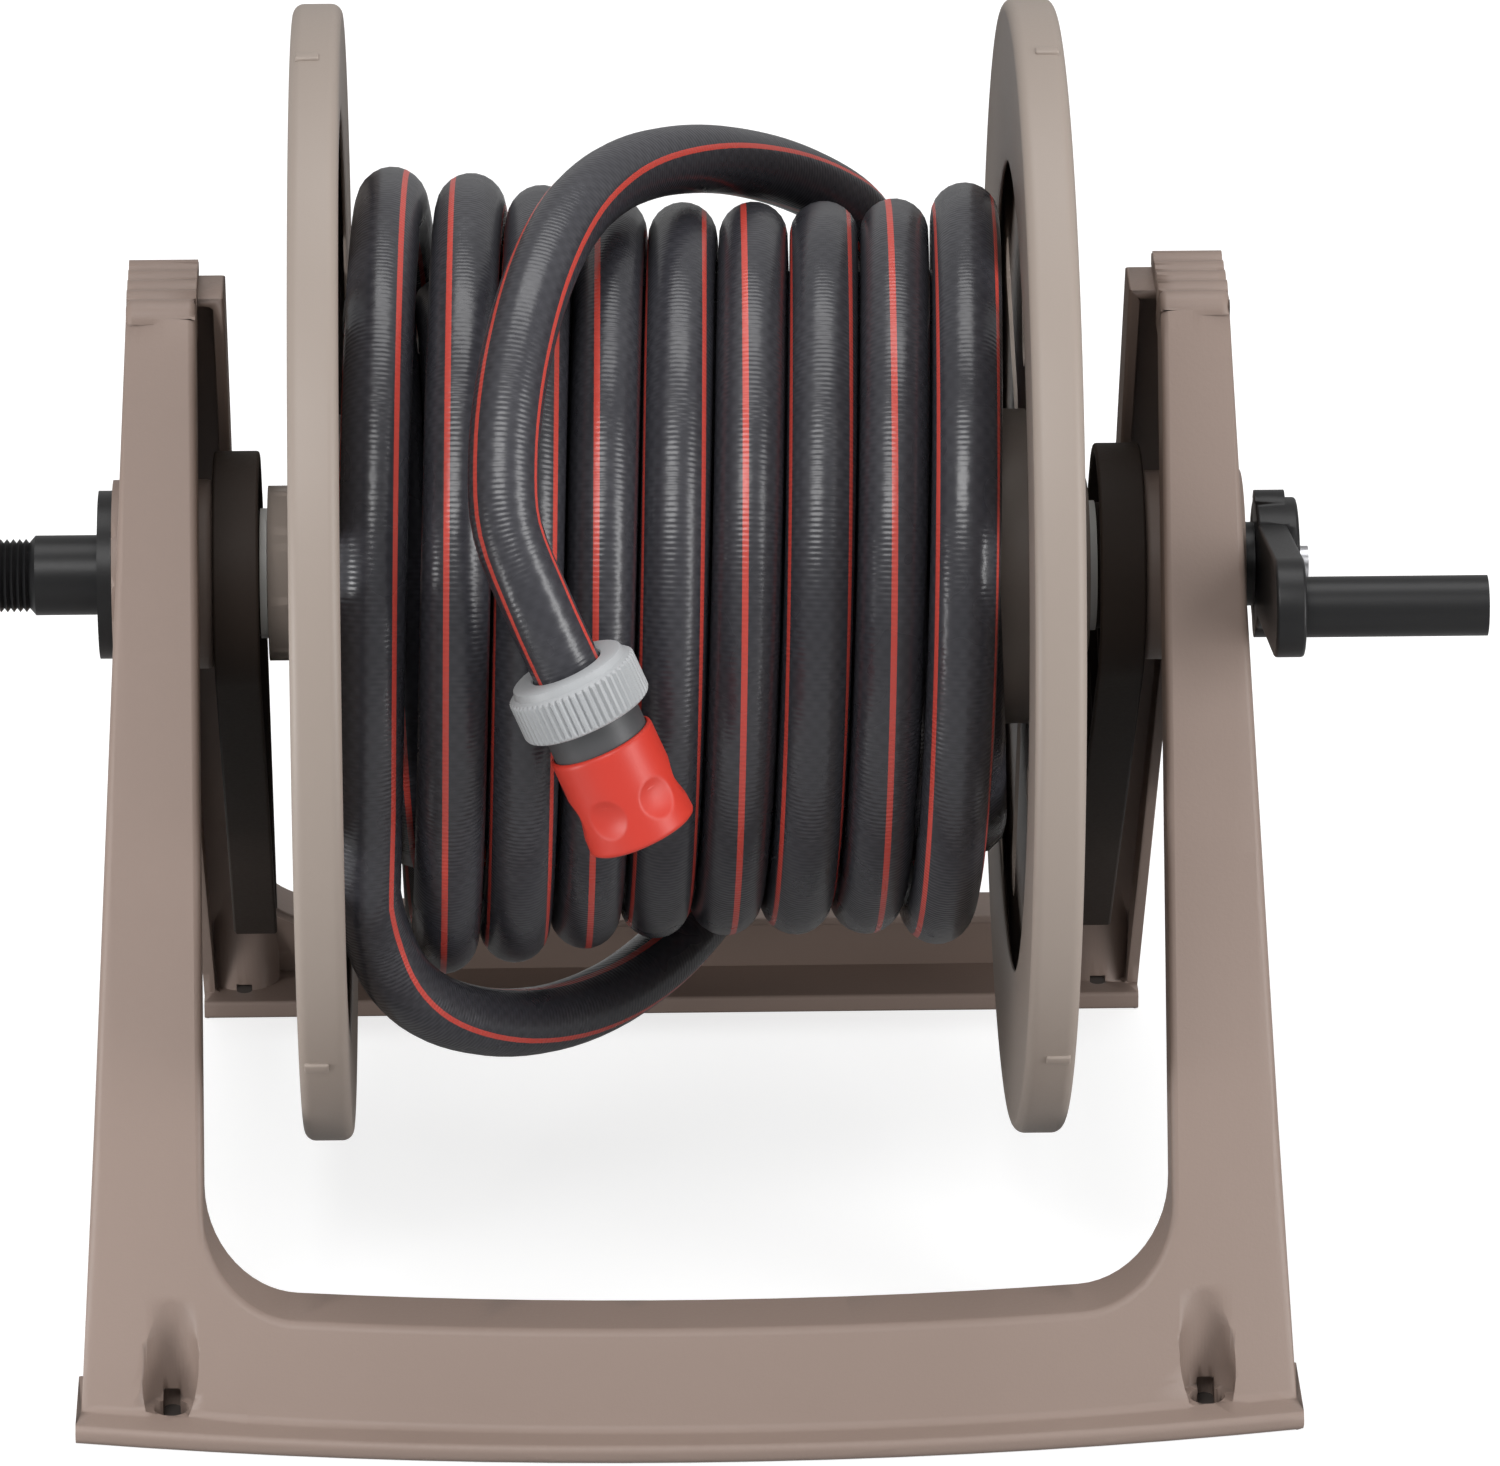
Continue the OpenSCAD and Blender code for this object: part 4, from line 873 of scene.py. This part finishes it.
@dataclass
class Flange:
    """A flange of the drum: the CAD node's web with a new rim, round at its edges and with its tabs.

    Sizes are in millimetres and degrees.

    Attributes:
        node: The CAD node that it replaces.
        side: 1 at the crank, -1 at the inlet.
    """

    node: str
    side: int
    rim_r: float = 162.0
    rim_t: float = 4.0
    rim_x: float = 94.0  # where the rim begins along the axle
    rim_w: float = 14.0
    rounding: float = 3.2
    face_r: float = 133.0  # inner radius of the flat face inside the rim
    face_t: float = 2.0
    face_drop: float = 0.6  # how far that lies behind the rim's edge
    chamfer: float = 0.5  # of the face's corners
    overlap: float = 0.2  # how far the rim reaches into the web
    slack: float = 0.05  # how far inside the rim the web's edge is looked for
    tab_angles: tuple[float, ...] = (84.5, 204.5, 324.5)
    tab_w: float = 4.0
    tab_h: float = 0.8
    tab_share: float = 0.6  # share of the rim's width that a tab crosses
    tab_rounding: float = 0.6

    SHARP_DEGREES = 36.0
    ROUNDING_STEPS = 7
    FACETS = 240

    def web(self) -> bmesh.types.BMesh:
        """Copies the node's mesh without its rim and closes the web's edge.

        Returns:
            The web with the hub and the ribs.
        """
        bm = bmesh.new()
        bm.from_mesh(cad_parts[self.node].data)
        bmesh.ops.remove_doubles(bm, verts=bm.verts[:], dist=WELD)
        centre, edge = AXLE.centre(), (self.rim_r - self.rim_t - self.slack) * MM
        outer = {v for v in bm.verts if math.hypot(v.co.y - centre.y, v.co.z - centre.z) > edge}
        bmesh.ops.delete(bm, geom=[f for f in bm.faces if outer.issuperset(f.verts)], context="FACES")
        bmesh.ops.bridge_loops(bm, edges=[e for e in bm.edges if e.is_boundary])
        return bm

    def rim(self) -> bmesh.types.BMesh:
        """Spins the rim's section, round at its two outer corners, with the flat face inside it.

        Returns:
            The rim in the part's frame.
        """
        r, x0, x1, c = self.rim_r, self.rim_x, self.rim_x + self.rim_w, self.rounding
        inner, front, back = r - self.rim_t - self.overlap, x0 + self.face_drop, x0 + self.face_t
        section = [(inner, x1), (inner, back), (self.face_r + 2 * self.chamfer, back),
                   (self.face_r, back - self.chamfer), (self.face_r, front + self.chamfer),
                   (self.face_r + self.face_drop, front), (r - c - 3 * self.chamfer, front),
                   (r - c - self.chamfer, x0)]
        for start, x in ((-90, x0 + c), (0, x1 - c)):
            for i in range(self.ROUNDING_STEPS + 1):
                a = math.radians(start + 90 * i / self.ROUNDING_STEPS)
                section.append((r - c + c * math.cos(a), x + c * math.sin(a)))
        bm = turned(section, self.FACETS)
        bm.transform(Matrix.Translation(AXLE.centre()) @ Matrix.Diagonal((self.side, 1, 1, 1))
                     @ Matrix.Rotation(math.pi / 2, 4, "Y"))
        return bm

    def add_tab(self, bm: bmesh.types.BMesh, degrees: float) -> None:
        """Adds a small raised tab across the rim's outer part.

        Args:
            bm: The mesh that gets the tab.
            degrees: Its angle from the front, upwards.
        """
        length = self.rim_w * self.tab_share - self.rounding / 2
        x = self.rim_x + self.rim_w - self.rounding / 2 - length / 2
        out = (AXLE.round(0, degrees, 1) - AXLE.round(0, degrees, 0)).normalized()
        along = Vector((1, 0, 0))
        turn = Matrix((along, out.cross(along), out)).transposed().to_4x4()
        place = Matrix.Translation(AXLE.round(self.side * x, degrees, self.rim_r - self.tab_h)) @ turn
        size = Matrix.Diagonal((length * MM, self.tab_w * MM, 4 * self.tab_h * MM, 1))
        verts = bmesh.ops.create_cube(bm, size=1.0, matrix=place @ size)["verts"]
        edges = {e for v in verts for e in v.link_edges}
        bmesh.ops.bevel(bm, geom=list(edges), offset=self.tab_rounding * MM, offset_type="OFFSET", segments=3,
                        profile=0.5, affect="EDGES", clamp_overlap=True, material=-1)

    def build(self) -> None:
        """Makes the flange of its web, its rim and its tabs, and hides the node."""
        bm, rim = self.web(), self.rim()
        for degrees in self.tab_angles:
            self.add_tab(rim, degrees)
        bmesh.ops.recalc_face_normals(rim, faces=rim.faces[:])
        ring = bpy.data.meshes.new("rim_ring")
        rim.to_mesh(ring)
        rim.free()
        bm.from_mesh(ring)
        bpy.data.meshes.remove(ring)
        piece = new_piece(self.node + "_rounded", bm, Body.DRUM, FLANGE_PLASTIC, self.SHARP_DEGREES)
        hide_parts(self.node)


@dataclass
class Fittings:
    """The CAD nodes that keep their own shape and only get a finish."""

    nodes: dict[Finish, tuple[str, ...]] = field(default_factory=lambda: {
        ZINC_STEEL: ("arm_screws", "frame_screws", "flange_screws", "hose_clip", "crank_screw", "grip_screw"),
        BLACK_STEEL: ("inlet_screws",),
        BLACK_PLASTIC: ("inlet_nipple", "water_spindle", "crank_shaft", "grip_cap"),
        WHITE_PLASTIC: ("left_bush", "right_bush", "grip_claws"),
        SEAL_RUBBER: ("inlet_o_rings", "hose_lead_in", "connector_o_ring"),
        FLANGE_PLASTIC: ("barrel",), NECK_PLASTIC: ("connector_body",)})

    def dress(self) -> None:
        """Puts each finish on its nodes."""
        for finish, nodes in self.nodes.items():
            for node in nodes:
                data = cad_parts[node].data
                data.materials.clear()
                data.materials.append(finish.material())
                LOG.info("node %s: %s", node, finish.name)


@dataclass(frozen=True)
class Lamp:
    """A soft rectangular light, its place and its width and height in metres."""

    name: str
    spot: tuple[float, float, float]
    size: tuple[float, float]
    watts: float


@dataclass
class Studio:
    """The floor, the lights and the camera.

    Sizes are in millimetres, degrees and, for focal and width, pixels of the photograph.
    """

    distance: float = 2960.0  # from the camera to the drum's middle, along its view
    pitch: float = 23.3  # how far the camera looks down
    yaw: float = 1.46  # how far it looks to the right
    aside: float = 20.6  # how far it stands to the right of that view
    below: float = 46.8  # how far it stands below that view
    focal: float = 10360.0
    width: float = 1500.0
    sensor: float = 36.0
    clip: tuple[float, float] = (0.1, 60.0)  # metres
    floor_half: float = 9.0  # metres
    paper: float = 0.42  # grey of the floor
    paper_glow: float = 0.72  # light that it adds where the camera sees it
    shade: Colour = (0.05, 0.04, 0.035)  # painted shade on the floor in the keyholes' pockets
    shade_z: float = 0.3
    shade_r: float = 9.5
    shade_spots: tuple[tuple[str, float, float], ...] = (
        ("shade_front_left", -145.0, -139.0), ("shade_front_right", 145.0, -139.0),
        ("shade_rear_left", -130.0, 142.0), ("shade_rear_right", 130.0, 142.0))
    room: float = 0.45  # light all round
    aim: tuple[float, float, float] = (0.0, 0.0, 0.18)  # where the lamps point, in metres
    lamps: tuple[Lamp, ...] = (
        Lamp("key_light", (-0.6, -1.6, 2.1), (1.4, 1.0), 32.0),
        Lamp("fill_light", (1.8, -1.1, 1.0), (0.7, 1.6), 24.0),
        Lamp("left_card", (-0.68, -0.36, 0.12), (0.24, 0.36), 3.2),
        Lamp("right_card", (0.62, -0.46, 0.12), (0.24, 0.36), 1.5),
        Lamp("top_light", (0.1, 0.4, 2.4), (1.8, 1.2), 22.0))

    @staticmethod
    def set_stage(name: str, bm: bmesh.types.BMesh, material: bpy.types.Material) -> None:
        """Makes a mesh with its material into an object in the scene.

        Args:
            name: The name of that part.
            bm: The mesh, which is freed.
            material: The material.
        """
        mesh = bpy.data.meshes.new(name)
        bm.to_mesh(mesh)
        bm.free()
        mesh.materials.append(material)
        add_object(name, mesh)

    def camera(self) -> None:
        """Sets the camera where the photograph was taken from."""
        p, y = math.radians(self.pitch), math.radians(self.yaw)
        ahead = Vector((math.sin(y) * math.cos(p), math.cos(y) * math.cos(p), -math.sin(p)))
        right = Vector((math.cos(y), -math.sin(y), 0))
        up = right.cross(ahead)
        data = bpy.data.cameras.new("photo_camera")
        data.sensor_fit = "HORIZONTAL"
        data.sensor_width = self.sensor
        data.lens = self.sensor * self.focal / self.width
        data.clip_start, data.clip_end = self.clip
        data.dof.use_dof = False
        camera = add_object("photo_camera", data)
        spot = AXLE.centre() + (right * self.aside - up * self.below - ahead * self.distance) * MM
        camera.matrix_world = Matrix.Translation(spot) @ Matrix((right, up, -ahead)).transposed().to_4x4()
        bpy.context.scene.camera = camera

    def floor(self) -> None:
        """Lays a wide pale floor under the feet."""
        material = bpy.data.materials.new("floor_paper")
        material.use_nodes = True
        tree = material.node_tree
        seen = add_node(tree, "LightPath", {}).outputs["Is Camera Ray"]
        glow = math_node(tree, "MULTIPLY", seen, self.paper_glow)
        feed(tree, tree.nodes["Principled BSDF"], {
            "Base Color": (self.paper, self.paper, self.paper, 1), "Roughness": 0.85,
            "Emission Color": (1, 1, 1, 1), "Emission Strength": glow})
        bm = bmesh.new()
        bmesh.ops.create_grid(bm, x_segments=1, y_segments=1, size=self.floor_half)
        self.set_stage("floor", bm, material)

    def painted_foot_shade(self) -> None:
        """Lays a dark patch of painted shade in each keyhole's pocket, where the foot keeps the light off the
        floor.
        """
        material = bpy.data.materials.new("painted_foot_shade")
        material.use_nodes = True
        feed(material.node_tree, material.node_tree.nodes["Principled BSDF"], {
            "Base Color": (*self.shade, 1), "Roughness": 0.9})
        # Each patch is a dark disc that paints the shade under the foot onto the floor.
        for name, x, y in self.shade_spots:
            bm = bmesh.new()
            bmesh.ops.create_circle(bm, cap_ends=True, segments=24, radius=self.shade_r * MM,
                                    matrix=Matrix.Translation(AXLE.point(x, y, self.shade_z)))
            self.set_stage(name, bm, material)

    def light(self) -> None:
        """Hangs the lamps in a bright room."""
        world = bpy.data.worlds.new("room")
        world.use_nodes = True
        feed(world.node_tree, world.node_tree.nodes["Background"], {
            "Color": (1, 1, 1, 1), "Strength": self.room})
        bpy.context.scene.world = world
        for lamp in self.lamps:
            data = bpy.data.lights.new(lamp.name, "AREA")
            data.shape = "RECTANGLE"
            data.size, data.size_y = lamp.size
            data.energy = lamp.watts
            hung = add_object(lamp.name, data)
            hung.location = lamp.spot
            hung.visible_camera = False
            hung.rotation_euler = (Vector(self.aim) - Vector(lamp.spot)).to_track_quat("-Z", "Y").to_euler()

    def build(self) -> None:
        """Sets the camera, the floor, the painted shade under the feet and the lights."""
        self.camera()
        self.floor()
        self.painted_foot_shade()
        self.light()
        bpy.context.scene.view_settings.view_transform = "Standard"


def main() -> None:
    """Builds the studio and the pieces in order."""
    logging.basicConfig(level=logging.INFO, format="%(message)s")
    Studio().build()
    hose = Hose()
    connector = Connector(hose)
    connector.build_nut()
    connector.build_sleeve()
    connector.build_spring()
    hose.build()
    for moulding in (
            Moulding("front_frame", STAND_PLASTIC, radius=2.0, outline=240.0, grid=12.0, crease=70.0),
            Moulding("rear_frame", STAND_PLASTIC, radius=1.1, grid=14.0),
            Moulding("left_bearing_arm", ARM_PAINTED_SHADE), Moulding("right_bearing_arm", ARM_PAINTED_SHADE),
            Flange("left_flange", -1), Flange("right_flange", 1, face_r=116.0),
            Moulding("crank", BLACK_PLASTIC, Body.DRUM, radius=1.0),
            Moulding("crank_grip", BLACK_PLASTIC, Body.GRIP, radius=1.2)):
        moulding.build()
    Fittings().dress()


if __name__ == "__main__":
    main()
